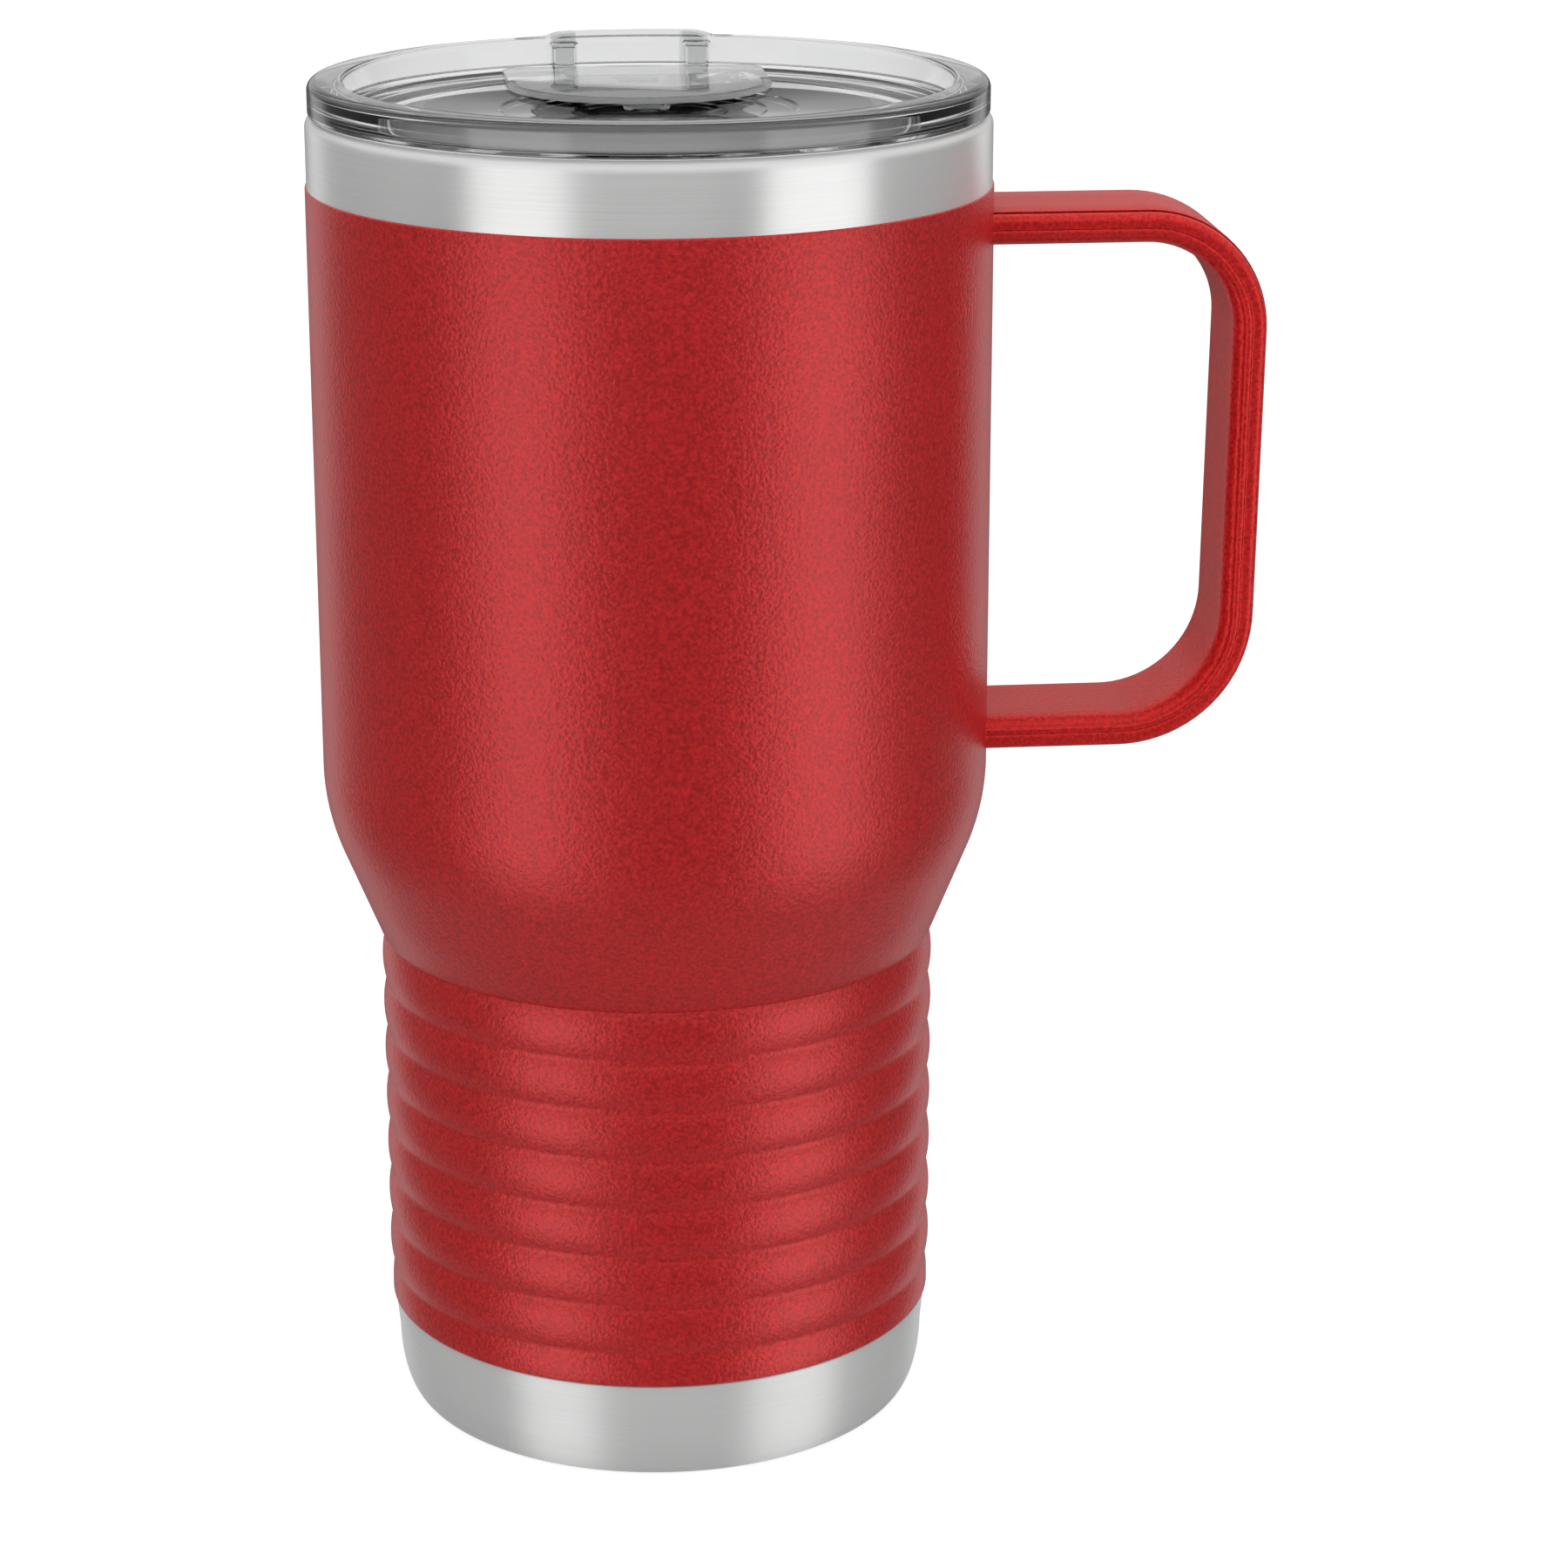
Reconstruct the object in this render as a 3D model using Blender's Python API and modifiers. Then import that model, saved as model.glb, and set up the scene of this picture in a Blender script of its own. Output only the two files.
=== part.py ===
"""Insulated travel mug: a double-walled steel mug with a strap handle and a clear slider lid.

Standalone Blender 4.5 script in metres, +Z up. The origin is on the mug's axis in the plane
that it stands on. The handle points along +X and the drinking edge of the lid along +Y.
"""

import math

import bmesh
import bpy
from mathutils import Matrix, Vector

MM = 0.001
SEGMENTS = 48            # steps round a turned piece
GAP = 0.3 * MM           # clearance between pieces that touch
SHEET = 0.6 * MM         # thickness of the steel walls

# Outer wall, from the foot up
BODY_RADIUS = 43.6 * MM
COLLAR_RADIUS = 43.4 * MM
RIB_RADIUS = 36.6 * MM   # at the crests
GROOVE_DEPTH = 0.5 * MM
BASE_TOP_RADIUS = 36.1 * MM
BASE_LOW_RADIUS = 35.6 * MM
BASE_TOP = 13.7 * MM     # bare base band below, coated wall above
CORNER_HEIGHT = 8.4 * MM
CORNER_WIDTH = 2.8 * MM
TAPER_BOTTOM = 64.9 * MM
TAPER_TOP = 88.4 * MM
TAPER_ANGLE = math.radians(22.1)
TAPER_BLEND = 28.6 * MM  # radius that joins the taper to the upper wall
RIB_PITCH = 6.7 * MM
RIB_COUNT = 7
SHELL_TOP = 163.7 * MM   # coated wall below, bare collar above
RIM_TOP = 172.9 * MM
LIP_RADIUS = 1.4 * MM
LIP_HOLLOW = 2.6 * MM    # below the rim, the top of the space inside the rolled lip
LIP_SIDES = 4.0 * MM     # below the rim, where the lip's two sides are upright again
CONE_BEND_DROP = 11.5 * MM   # below the taper's top, where the wall's inside turns into the cone
CONE_BEND_DEPTH = 2.4 * MM   # and how far inwards it has come by then

# Inner liner and the pieces in the vacuum space
MOUTH_RADIUS = 40.6 * MM
UPPER_BORE = 39.6 * MM
LOWER_BORE = 32.4 * MM
SHOULDER_TOP = 156.0 * MM
SHOULDER_BOTTOM = 152.0 * MM
LINER_FLOOR = 8.6 * MM
LINER_CORNER = 8.0 * MM
LINER_BEND_DROP = 11.0 * MM  # the same bend in the liner
LINER_BEND_DEPTH = 2.2 * MM
LINER_CONE_FOOT = 1.0 * MM   # below the wall's taper, the foot of the liner's
FOOT_INNER = 27.0 * MM
RECESS_RADIUS = 25.4 * MM
RECESS_HEIGHT = 1.7 * MM
COVER_RECESS = 0.4 * MM
COVER_THICKNESS = 0.8 * MM
COVER_EDGE = 0.2 * MM
PORT_RADIUS = 1.5 * MM
GETTER_RADIUS = 5.0 * MM
GETTER_HEIGHT = 1.8 * MM
GETTER_OFFSET = 15.0 * MM
GETTER_RIM = 1.0 * MM
GETTER_DISH_DEPTH = 0.6 * MM

# Handle: two stamped straps, one nested in front of the other, welded along their edges
HANDLE_WIDTH = 19.0 * MM
HANDLE_THICKNESS = 4.4 * MM
HANDLE_TOP = 160.6 * MM
HANDLE_BOTTOM = 89.9 * MM
HANDLE_REACH = 78.5 * MM
HANDLE_LEAN = 0.6 * MM   # how much nearer the bar's lower end is to the mug
UPPER_BEND = 13.5 * MM   # radii of the strap's middle line
LOWER_BEND = 15.5 * MM
STRAP_SHEET = 0.6 * MM
STRAP_CORNER = 1.9 * MM
STRAP_ROOT = 3.0 * MM    # how far inside the wall the strap's line starts, before it is cut to fit

# Lid
FLANGE_RADIUS = 43.0 * MM
FLANGE_TOP = 177.3 * MM
FLANGE_ROUND = 1.1 * MM
FLANGE_CHAMFER = 0.4 * MM
RING_INNER_ROUND = 0.6 * MM
RING_INNER_TOP = 38.4 * MM
RING_INNER_LOW = 37.5 * MM
LID_FLOOR_TOP = 173.3 * MM
LID_FLOOR_BOTTOM = 171.3 * MM
PLUG_RADIUS = 39.5 * MM
PLUG_BORE = 36.6 * MM
PLUG_BOTTOM = 161.0 * MM
PLUG_CHAMFER = 0.6 * MM
GASKET_TOP = 168.0 * MM
GASKET_BOTTOM = 164.0 * MM
GASKET_SEAT = 38.0 * MM
GASKET_REACH = 40.3 * MM
SPOUT_HALF_WIDTH = 9.0 * MM
SPOUT_FLANK = 4.0 * MM
SPOUT_RISE = 0.6 * MM
SPOUT_FOOT = 0.02 * MM         # its flanks' lower edges stay this far above the ring's top
SPOUT_OUTER_INSET = 0.9 * MM   # in from the flange's edge
SPOUT_INNER_INSET = 0.5 * MM   # out from the ring's inner edge
POST_PLACE = 8.9 * MM
POST_WIDTH = 3.0 * MM
POST_PROUD = 1.0 * MM
POST_TOP_DROP = 0.4 * MM
SIP_HALF_WIDTH = 8.0 * MM
SIP_NEAR = 27.0 * MM
SIP_FAR = 33.4 * MM
VENT_RADIUS = 1.3 * MM
VENT_PLACE = (12.5 * MM, 27.0 * MM)   # beside the drinking hole, where the closed slider covers it
DISH_STEPS = ((19.0 * MM, 0.4 * MM), (15.0 * MM, 0.8 * MM), (10.0 * MM, 1.2 * MM))
DISH_SLOPE = 0.3 * MM

# Slider, in its closed place over the drinking hole
SLIDER_HALF_WIDTH = 17.3 * MM
SLIDER_NEAR = 1.8 * MM
SLIDER_FAR_RADIUS = 36.2 * MM
SLIDER_THICKNESS = 0.9 * MM
SLIDER_TRAVEL = 13.0 * MM
STEM_HALF_WIDTH = 2.6 * MM
STEM_NEAR = 18.6 * MM
STEM_FAR = 23.6 * MM
STEM_END = 0.8 * MM      # what shows of the stem below its clip
SLOT_MARGIN = 0.4 * MM
RETAINER_HALF_WIDTH = 5.6 * MM
RETAINER_THICKNESS = 1.6 * MM
RETAINER_MARGIN = 2.0 * MM
RETAINER_EDGE = 0.3 * MM
SEAL_THICKNESS = 0.5 * MM
SEAL_MARGIN = 1.2 * MM
SEAL_FAR_INSET = 0.6 * MM
SEAL_HOUSING = 0.5 * MM      # thickness of the slider's plastic round and over its seal
POST_CLEARANCE = 0.6 * MM    # from the posts' faces to the slider's back
GRIP_WIDTH = 1.2 * MM
GRIP_RISE = 0.5 * MM     # of the rim along the slider's round front, above its plate
ROOT = 0.5 * MM          # how far a joined piece is sunk into what it is joined to
CUT_MARGIN = 1.0 * MM    # how far a cutter passes the faces that it cuts

RED = (0.30, 0.012, 0.016)
STEEL = (0.62, 0.62, 0.61)
CLEAR = (0.86, 0.88, 0.88)
CLEAR_ALPHA = 0.35
SILICONE = (0.75, 0.75, 0.74)
BEAD = (0.12, 0.11, 0.10)
GETTER_GREY = (0.35, 0.34, 0.32)
RETAINER_WHITE = (0.80, 0.81, 0.81)


def collection(name):
    group = bpy.data.collections.new(name)
    bpy.context.scene.collection.children.link(group)
    return group


def finish(name, colour, roughness, metallic, alpha=1.0):
    """A Principled material of its own for each piece."""
    material = bpy.data.materials.new(name)
    material.use_nodes = True
    shader = material.node_tree.nodes["Principled BSDF"]
    shader.inputs["Base Color"].default_value = (*colour, 1.0)
    shader.inputs["Roughness"].default_value = roughness
    shader.inputs["Metallic"].default_value = metallic
    shader.inputs["Alpha"].default_value = alpha
    return material


def add_part(name, mesh, material, group):
    part = bpy.data.objects.new(name, mesh)
    group.objects.link(part)
    if material:
        mesh.materials.append(material)
    return part


def arc(centre_r, centre_z, radius_r, radius_z, start, end, steps):
    """Points on an elliptic arc; angles in degrees, 0 pointing outwards and 90 up."""
    points = []
    for i in range(steps + 1):
        angle = math.radians(start + (end - start) * i / steps)
        points.append((centre_r + radius_r * math.cos(angle), centre_z + radius_z * math.sin(angle)))
    return points


def turned(name, outline, material, group, closed=True, segments=SEGMENTS):
    """A piece of revolution. Its outline of (radius, height) runs down its outer side.

    An outline that isn't closed starts and ends on the axis.
    """
    mesh = bpy.data.meshes.new(name)
    count = len(outline)
    edges = [(i, (i + 1) % count) for i in range(count if closed else count - 1)]
    mesh.from_pydata([(r, 0.0, z) for r, z in outline], edges, [])
    part = add_part(name, mesh, material, group)
    spin = part.modifiers.new("Spin", "SCREW")
    spin.axis = "Z"
    spin.steps = segments
    spin.render_steps = segments
    spin.use_merge_vertices = True
    spin.merge_threshold = 0.00005
    spin.use_smooth_shade = True
    return part


def extruded(name, outline, low, high, material, group):
    """A flat outline of (x, y) points, filled and given a height from low to high."""
    curve = bpy.data.curves.new(name, "CURVE")
    curve.dimensions = "2D"
    curve.fill_mode = "BOTH"
    curve.extrude = (high - low) / 2
    spline = curve.splines.new("POLY")
    spline.points.add(len(outline) - 1)
    for point, (x, y) in zip(spline.points, outline):
        point.co = (x, y, 0.0, 1.0)
    spline.use_cyclic_u = True
    guide = bpy.data.objects.new(name + "_outline", curve)
    group.objects.link(guide)
    guide.location.z = (high + low) / 2
    return curve_to_mesh(guide, name, material, group)


def curve_to_mesh(guide, name, material, group):
    """Turn a curve object into a closed mesh object in the same place."""
    bpy.context.view_layer.update()
    solid = guide.evaluated_get(bpy.context.evaluated_depsgraph_get())
    mesh = bpy.data.meshes.new_from_object(solid)
    mesh.name = name
    shape = bmesh.new()
    shape.from_mesh(mesh)
    bmesh.ops.remove_doubles(shape, verts=shape.verts, dist=0.00001)
    bmesh.ops.recalc_face_normals(shape, faces=shape.faces)
    shape.to_mesh(mesh)
    shape.free()
    mesh.materials.clear()
    part = add_part(name, mesh, material, group)
    part.matrix_world = guide.matrix_world.copy()
    bpy.data.objects.remove(guide)
    return part


def box(name, low, high, group, material=None):
    mesh = bpy.data.meshes.new(name)
    shape = bmesh.new()
    centre = (Vector(low) + Vector(high)) / 2
    size = Vector(high) - Vector(low)
    place = Matrix.Translation(centre) @ Matrix.Diagonal((*size, 1.0))
    bmesh.ops.create_cube(shape, size=1.0, matrix=place)
    shape.to_mesh(mesh)
    shape.free()
    return add_part(name, mesh, material, group)


def cylinder(name, radius, low, high, group, centre=(0.0, 0.0), sides=SEGMENTS, material=None):
    mesh = bpy.data.meshes.new(name)
    shape = bmesh.new()
    place = Matrix.Translation((*centre, (low + high) / 2))
    bmesh.ops.create_cone(
        shape, cap_ends=True, segments=sides, radius1=radius, radius2=radius, depth=high - low, matrix=place
    )
    shape.to_mesh(mesh)
    shape.free()
    return add_part(name, mesh, material, group)


def combine(part, tool, operation):
    """Cut, join or trim a part with another mesh, which is kept as a hidden guide."""
    tool.hide_render = True
    tool.display_type = "WIRE"
    change = part.modifiers.new(operation.title() + " " + tool.name, "BOOLEAN")
    change.operation = operation
    change.object = tool
    change.solver = "EXACT"


def soften(part, width):
    bevel = part.modifiers.new("Soft edges", "BEVEL")
    bevel.width = width
    bevel.segments = 1
    bevel.limit_method = "ANGLE"
    bevel.angle_limit = math.radians(40.0)


def smooth(part):
    part.data.shade_smooth()
    part.data.set_sharp_from_angle(angle=math.radians(35.0))


# ---------------------------------------------------------------- the mug's walls


def taper_points():
    """The rounded shoulder and the cone, from the upper wall down to the first groove."""
    points = arc(
        BODY_RADIUS - TAPER_BLEND, TAPER_TOP, TAPER_BLEND, TAPER_BLEND, 0.0, -math.degrees(TAPER_ANGLE), 4
    )
    radius, height = points[-1]
    points.append((radius - (height - TAPER_BOTTOM) * math.tan(TAPER_ANGLE), TAPER_BOTTOM))
    return points


def rib_points():
    """Shallow bulges with a sharp groove between each two, from the top one down."""
    groove = RIB_RADIUS - GROOVE_DEPTH
    points = []
    for rib in range(RIB_COUNT):
        top = TAPER_BOTTOM - rib * RIB_PITCH
        for share in (0.25, 0.5, 0.75):
            bulge = 1.0 - (2.0 * share - 1.0) ** 2
            points.append((groove + GROOVE_DEPTH * bulge, top - share * RIB_PITCH))
        points.append((groove, top - RIB_PITCH))
    return points


def make_outer_shell(group):
    """The coated wall: a plain band, the ribs, the taper and the upper wall, in one sheet."""
    last_groove = TAPER_BOTTOM - RIB_COUNT * RIB_PITCH
    outer = [(BODY_RADIUS - GAP, SHELL_TOP), (BODY_RADIUS, SHELL_TOP - GAP)]
    outer += taper_points() + rib_points()
    outer += [(BASE_TOP_RADIUS + GAP, last_groove - 0.4 * RIB_PITCH), (BASE_TOP_RADIUS + GAP, BASE_TOP)]
    lower_inside = RIB_RADIUS - GROOVE_DEPTH - SHEET
    inner = [
        (lower_inside, BASE_TOP),
        (lower_inside, TAPER_BOTTOM - SHEET),
        (BODY_RADIUS - SHEET - CONE_BEND_DEPTH, TAPER_TOP - CONE_BEND_DROP),
        (BODY_RADIUS - SHEET, TAPER_TOP),
        (BODY_RADIUS - SHEET, SHELL_TOP),
    ]
    return turned("outer_shell", outer + inner, finish("red_coat", RED, 0.45, 0.0), group)


def liner_corner(radius, start, end):
    """The round corner between the liner's floor and its bore, or the same on its vacuum side."""
    return arc(LOWER_BORE - LINER_CORNER, LINER_FLOOR + LINER_CORNER, radius, radius, start, end, 4)


def make_inner_liner(group):
    """The drinking vessel. Its mouth turns outwards and down as the bare collar."""
    lip_centre = (COLLAR_RADIUS + MOUTH_RADIUS) / 2
    collar_bottom = SHELL_TOP + GAP
    bore = [
        (LOWER_BORE, TAPER_BOTTOM - LINER_CONE_FOOT),
        (UPPER_BORE - LINER_BEND_DEPTH, TAPER_TOP - LINER_BEND_DROP),
        (UPPER_BORE, TAPER_TOP),
        (UPPER_BORE, SHOULDER_BOTTOM),
        (MOUTH_RADIUS, SHOULDER_TOP),
    ]
    vacuum_side = [(r + SHEET, z) for r, z in reversed(bore)]
    # From the axis, across the floor, up the bore, over the lip and down the collar.
    outline = [(0.0, LINER_FLOOR)] + liner_corner(LINER_CORNER, -90.0, 0.0) + bore
    outline += arc(lip_centre, RIM_TOP - LIP_RADIUS, LIP_RADIUS, LIP_RADIUS, 180.0, 0.0, 6)
    outline += [(COLLAR_RADIUS, collar_bottom), (COLLAR_RADIUS - SHEET, collar_bottom)]
    # Back up inside the lip, down the vacuum side and under the floor to the axis.
    outline += [
        (COLLAR_RADIUS - SHEET, RIM_TOP - LIP_SIDES),
        (lip_centre, RIM_TOP - LIP_HOLLOW),
        (MOUTH_RADIUS + SHEET, RIM_TOP - LIP_SIDES),
    ]
    outline += vacuum_side + liner_corner(LINER_CORNER + SHEET, 0.0, -90.0) + [(0.0, LINER_FLOOR - SHEET)]
    return turned("inner_liner", outline, finish("liner_steel", STEEL, 0.3, 1.0), group, closed=False)


def make_outer_bottom(group):
    """The bare steel cup that closes the outer wall, with the port the air is drawn out through."""
    centre = BASE_LOW_RADIUS - CORNER_WIDTH
    top = BASE_TOP - GAP
    outline = [(BASE_TOP_RADIUS, top)]
    outline += arc(centre, CORNER_HEIGHT, CORNER_WIDTH, CORNER_HEIGHT, 0.0, -90.0, 5)
    outline += [(FOOT_INNER, 0.0), (RECESS_RADIUS, RECESS_HEIGHT), (PORT_RADIUS, RECESS_HEIGHT)]
    inside = RECESS_HEIGHT + SHEET
    outline += [(PORT_RADIUS, inside), (RECESS_RADIUS + SHEET / 3, inside), (FOOT_INNER + SHEET, SHEET)]
    outline += arc(centre, CORNER_HEIGHT, CORNER_WIDTH - SHEET, CORNER_HEIGHT - SHEET, -90.0, 0.0, 4)
    outline += [(BASE_TOP_RADIUS - SHEET, top)]
    return turned("outer_bottom", outline, finish("base_steel", STEEL, 0.35, 1.0), group)


def make_base_cover(group):
    """The thin disc that hides the port."""
    radius = RECESS_RADIUS - GAP
    top = COVER_RECESS + COVER_THICKNESS
    outline = [(0.0, top), (radius - COVER_EDGE, top), (radius, top - COVER_EDGE)]
    outline += [(radius + COVER_EDGE, COVER_RECESS + COVER_EDGE), (radius, COVER_RECESS), (0.0, COVER_RECESS)]
    return turned(
        "base_cover", outline, finish("cover_steel", STEEL, 0.4, 1.0), group, closed=False, segments=36
    )


def make_port_seal(group):
    """The bead that plugs the port."""
    neck = PORT_RADIUS - GAP
    crown = 0.6 * neck
    low = COVER_RECESS + COVER_THICKNESS + GAP / 3
    top = RECESS_HEIGHT + SHEET + ROOT
    outline = [(0.0, top)] + arc(0.0, top - crown, neck, crown, 60.0, 0.0, 2)
    outline += [(neck, low + GAP / 3), (neck - COVER_EDGE, low), (0.0, low)]
    return turned("port_seal", outline, finish("seal_bead", BEAD, 0.3, 0.0), group, closed=False, segments=16)


def make_getter(group):
    """The getter pellet's dish, which keeps the vacuum, beside the port."""
    low = RECESS_HEIGHT + SHEET + GAP
    high = low + GETTER_HEIGHT
    bed = high - GETTER_DISH_DEPTH
    rim = GETTER_RADIUS
    edge = 0.3 * GETTER_RIM
    outline = [(0.0, bed), (rim - GETTER_RIM - edge, bed), (rim - GETTER_RIM, high)]
    outline += [(rim - edge, high), (rim, high - edge), (rim, low), (0.0, low)]
    metal = finish("getter_metal", GETTER_GREY, 0.5, 1.0)
    dish = turned("getter", outline, metal, group, closed=False, segments=20)
    dish.location = (-GETTER_OFFSET, 0.0, 0.0)
    return dish


# ---------------------------------------------------------------- the handle


def handle_path():
    """The strap's middle line in the XZ plane, from the upper end to the lower one."""
    half = HANDLE_THICKNESS / 2
    top = HANDLE_TOP - half
    bottom = HANDLE_BOTTOM + half
    reach = HANDLE_REACH - half
    start = BODY_RADIUS - STRAP_ROOT
    straight = (reach - UPPER_BEND - start) / 3
    points = [(start + straight * i, top) for i in range(3)]
    points += arc(reach - UPPER_BEND, top - UPPER_BEND, UPPER_BEND, UPPER_BEND, 90.0, 0.0, 7)
    low_reach = reach - HANDLE_LEAN
    points += arc(low_reach - LOWER_BEND, bottom + LOWER_BEND, LOWER_BEND, LOWER_BEND, 0.0, -90.0, 7)
    points += [(start + straight * i, bottom) for i in (2, 1, 0)]
    return points


def strap_section(outer_side):
    """One strap's section, a shallow channel, as (place across, distance from the middle line)."""
    edge = HANDLE_WIDTH / 2
    seam = GAP / 2
    across = edge - STRAP_CORNER
    depth = HANDLE_THICKNESS / 2 - STRAP_CORNER
    inside = STRAP_CORNER - STRAP_SHEET
    right = [(edge, seam)] + arc(across, depth, STRAP_CORNER, STRAP_CORNER, 0.0, 90.0, 3)
    right_in = arc(across, depth, inside, inside, 90.0, 0.0, 2) + [(edge - STRAP_SHEET, seam)]
    loop = right + [(-y, z) for y, z in reversed(right)]
    loop += [(-y, z) for y, z in reversed(right_in)] + right_in
    side = 1.0 if outer_side else -1.0
    return [(y, side * z) for y, z in loop]


def make_strap(name, outer_side, material, group, cutters):
    """One stamped strap: a shallow channel swept along the handle's line, cut to fit the wall."""
    section_curve = bpy.data.curves.new(name + "_section", "CURVE")
    section_curve.dimensions = "2D"
    spline = section_curve.splines.new("POLY")
    section = strap_section(outer_side)
    spline.points.add(len(section) - 1)
    for point, (across, depth) in zip(spline.points, section):
        point.co = (across, depth, 0.0, 1.0)
    spline.use_cyclic_u = True
    section_object = bpy.data.objects.new(name + "_section", section_curve)
    cutters.objects.link(section_object)

    line = bpy.data.curves.new(name + "_line", "CURVE")
    line.dimensions = "3D"
    line.bevel_mode = "OBJECT"
    line.bevel_object = section_object
    line.use_fill_caps = True
    spline = line.splines.new("POLY")
    route = handle_path()
    spline.points.add(len(route) - 1)
    for point, (x, z) in zip(spline.points, route):
        point.co = (x, 0.0, z, 1.0)
    guide = bpy.data.objects.new(name + "_line", line)
    group.objects.link(guide)
    strap = curve_to_mesh(guide, name, material, group)
    bpy.data.objects.remove(section_object)
    low = HANDLE_BOTTOM - CUT_MARGIN
    high = HANDLE_TOP + CUT_MARGIN
    wall = cylinder(name + "_wall", BODY_RADIUS + GAP, low, high, cutters, sides=2 * SEGMENTS)
    combine(strap, wall, "DIFFERENCE")
    smooth(strap)
    return strap


# ---------------------------------------------------------------- the lid


def post_face():
    """How far the posts' inner faces are from the axis: they stand proud of the ring's round wall."""
    return math.sqrt(RING_INNER_LOW**2 - (POST_PLACE + POST_WIDTH / 2) ** 2) - POST_PROUD


def make_spout(cutters):
    """The raised drinking edge: a low bump across the ring, trimmed to the ring's round sides."""
    half = SPOUT_HALF_WIDTH + SPOUT_FLANK
    outline = [(-half, -ROOT), (half, -ROOT), (half, SPOUT_FOOT)]
    outline += [(SPOUT_HALF_WIDTH, SPOUT_RISE), (-SPOUT_HALF_WIDTH, SPOUT_RISE), (-half, SPOUT_FOOT)]
    # Its ends must pass the ring's inner edge, which is nearer the axis at the bump's two sides.
    reach = FLANGE_RADIUS + CUT_MARGIN
    depth = reach - math.sqrt(RING_INNER_LOW**2 - half**2) + CUT_MARGIN
    bump = extruded("spout_bump", outline, 0.0, depth, None, cutters)
    bump.matrix_world = Matrix.Translation((0.0, reach, FLANGE_TOP)) @ Matrix.Rotation(math.pi / 2, 4, "X")
    outside = FLANGE_RADIUS - SPOUT_OUTER_INSET
    inside = RING_INNER_TOP + SPOUT_INNER_INSET
    high = FLANGE_TOP + SPOUT_RISE + CUT_MARGIN
    low = FLANGE_TOP - ROOT - CUT_MARGIN
    band = [(outside, high), (outside, low), (inside, low), (inside, high)]
    combine(bump, turned("spout_band", band, None, cutters), "INTERSECT")
    return bump


def make_lid_body(group, cutters):
    """Clear cup-shaped lid: a thick ring on the rim, a sunken floor and a plug with a seal groove."""
    ring_bottom = RIM_TOP + GAP
    round_over = FLANGE_ROUND
    outline = arc(FLANGE_RADIUS - round_over, FLANGE_TOP - round_over, round_over, round_over, 90.0, 0.0, 3)
    outline += [(FLANGE_RADIUS, ring_bottom + FLANGE_CHAMFER), (FLANGE_RADIUS - FLANGE_CHAMFER, ring_bottom)]
    outline += [(PLUG_RADIUS, ring_bottom), (PLUG_RADIUS, GASKET_TOP)]
    outline += [(GASKET_SEAT, GASKET_TOP), (GASKET_SEAT, GASKET_BOTTOM), (PLUG_RADIUS, GASKET_BOTTOM)]
    outline += [(PLUG_RADIUS, PLUG_BOTTOM + PLUG_CHAMFER), (PLUG_RADIUS - PLUG_CHAMFER, PLUG_BOTTOM)]
    outline += [(PLUG_BORE, PLUG_BOTTOM), (PLUG_BORE, LID_FLOOR_BOTTOM), (0.0, LID_FLOOR_BOTTOM)]
    dish = [(0.0, LID_FLOOR_TOP - DISH_STEPS[-1][1])]
    for i in range(len(DISH_STEPS) - 1, -1, -1):
        radius, depth = DISH_STEPS[i]
        above = DISH_STEPS[i - 1][1] if i > 0 else 0.0
        dish += [(radius - DISH_SLOPE, LID_FLOOR_TOP - depth), (radius, LID_FLOOR_TOP - above)]
    dish += [(RING_INNER_LOW, LID_FLOOR_TOP)]
    round_in = RING_INNER_ROUND
    dish += arc(RING_INNER_TOP + round_in, FLANGE_TOP - round_in, round_in, round_in, 180.0, 90.0, 2)
    clear = finish("lid_clear", CLEAR, 0.05, 0.0, alpha=CLEAR_ALPHA)
    lid = turned("lid_body", dish + outline, clear, group, closed=False)
    combine(lid, make_spout(cutters), "UNION")
    for side in (-1.0, 1.0):
        x = side * POST_PLACE
        post = box(
            "post_right" if side > 0 else "post_left",
            (x - POST_WIDTH / 2, post_face(), LID_FLOOR_TOP - ROOT),
            (x + POST_WIDTH / 2, RING_INNER_TOP + ROOT, FLANGE_TOP - POST_TOP_DROP),
            cutters,
        )
        combine(lid, post, "UNION")
    low = LID_FLOOR_BOTTOM - CUT_MARGIN
    high = LID_FLOOR_TOP + CUT_MARGIN
    sip = box("sip_cut", (-SIP_HALF_WIDTH, SIP_NEAR, low), (SIP_HALF_WIDTH, SIP_FAR, high), cutters)
    combine(lid, sip, "DIFFERENCE")
    slot_half = STEM_HALF_WIDTH + SLOT_MARGIN
    slot_near = STEM_NEAR - SLIDER_TRAVEL - SLOT_MARGIN
    slot = box("slot_cut", (-slot_half, slot_near, low), (slot_half, STEM_FAR + SLOT_MARGIN, high), cutters)
    combine(lid, slot, "DIFFERENCE")
    vent = cylinder("vent_cut", VENT_RADIUS, low, high, cutters, centre=VENT_PLACE, sides=16)
    combine(lid, vent, "DIFFERENCE")
    return lid


def make_lid_gasket(group):
    """Silicone ring in the plug's groove, with two lips that press on the bore."""
    seat = GASKET_SEAT + GAP
    body = PLUG_RADIUS + GAP / 3
    top = GASKET_TOP - GAP
    bottom = GASKET_BOTTOM + GAP
    lip = (top - bottom) / 2
    outline = []
    for crest in (top, top - lip):
        outline += [(body, crest), (GASKET_REACH, crest - 0.3 * lip), (GASKET_REACH, crest - 0.55 * lip)]
        outline += [(body, crest - 0.9 * lip)]
    outline += [(body, bottom), (seat, bottom), (seat, top)]
    return turned("lid_gasket", outline, finish("gasket_silicone", SILICONE, 0.5, 0.0), group)


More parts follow.
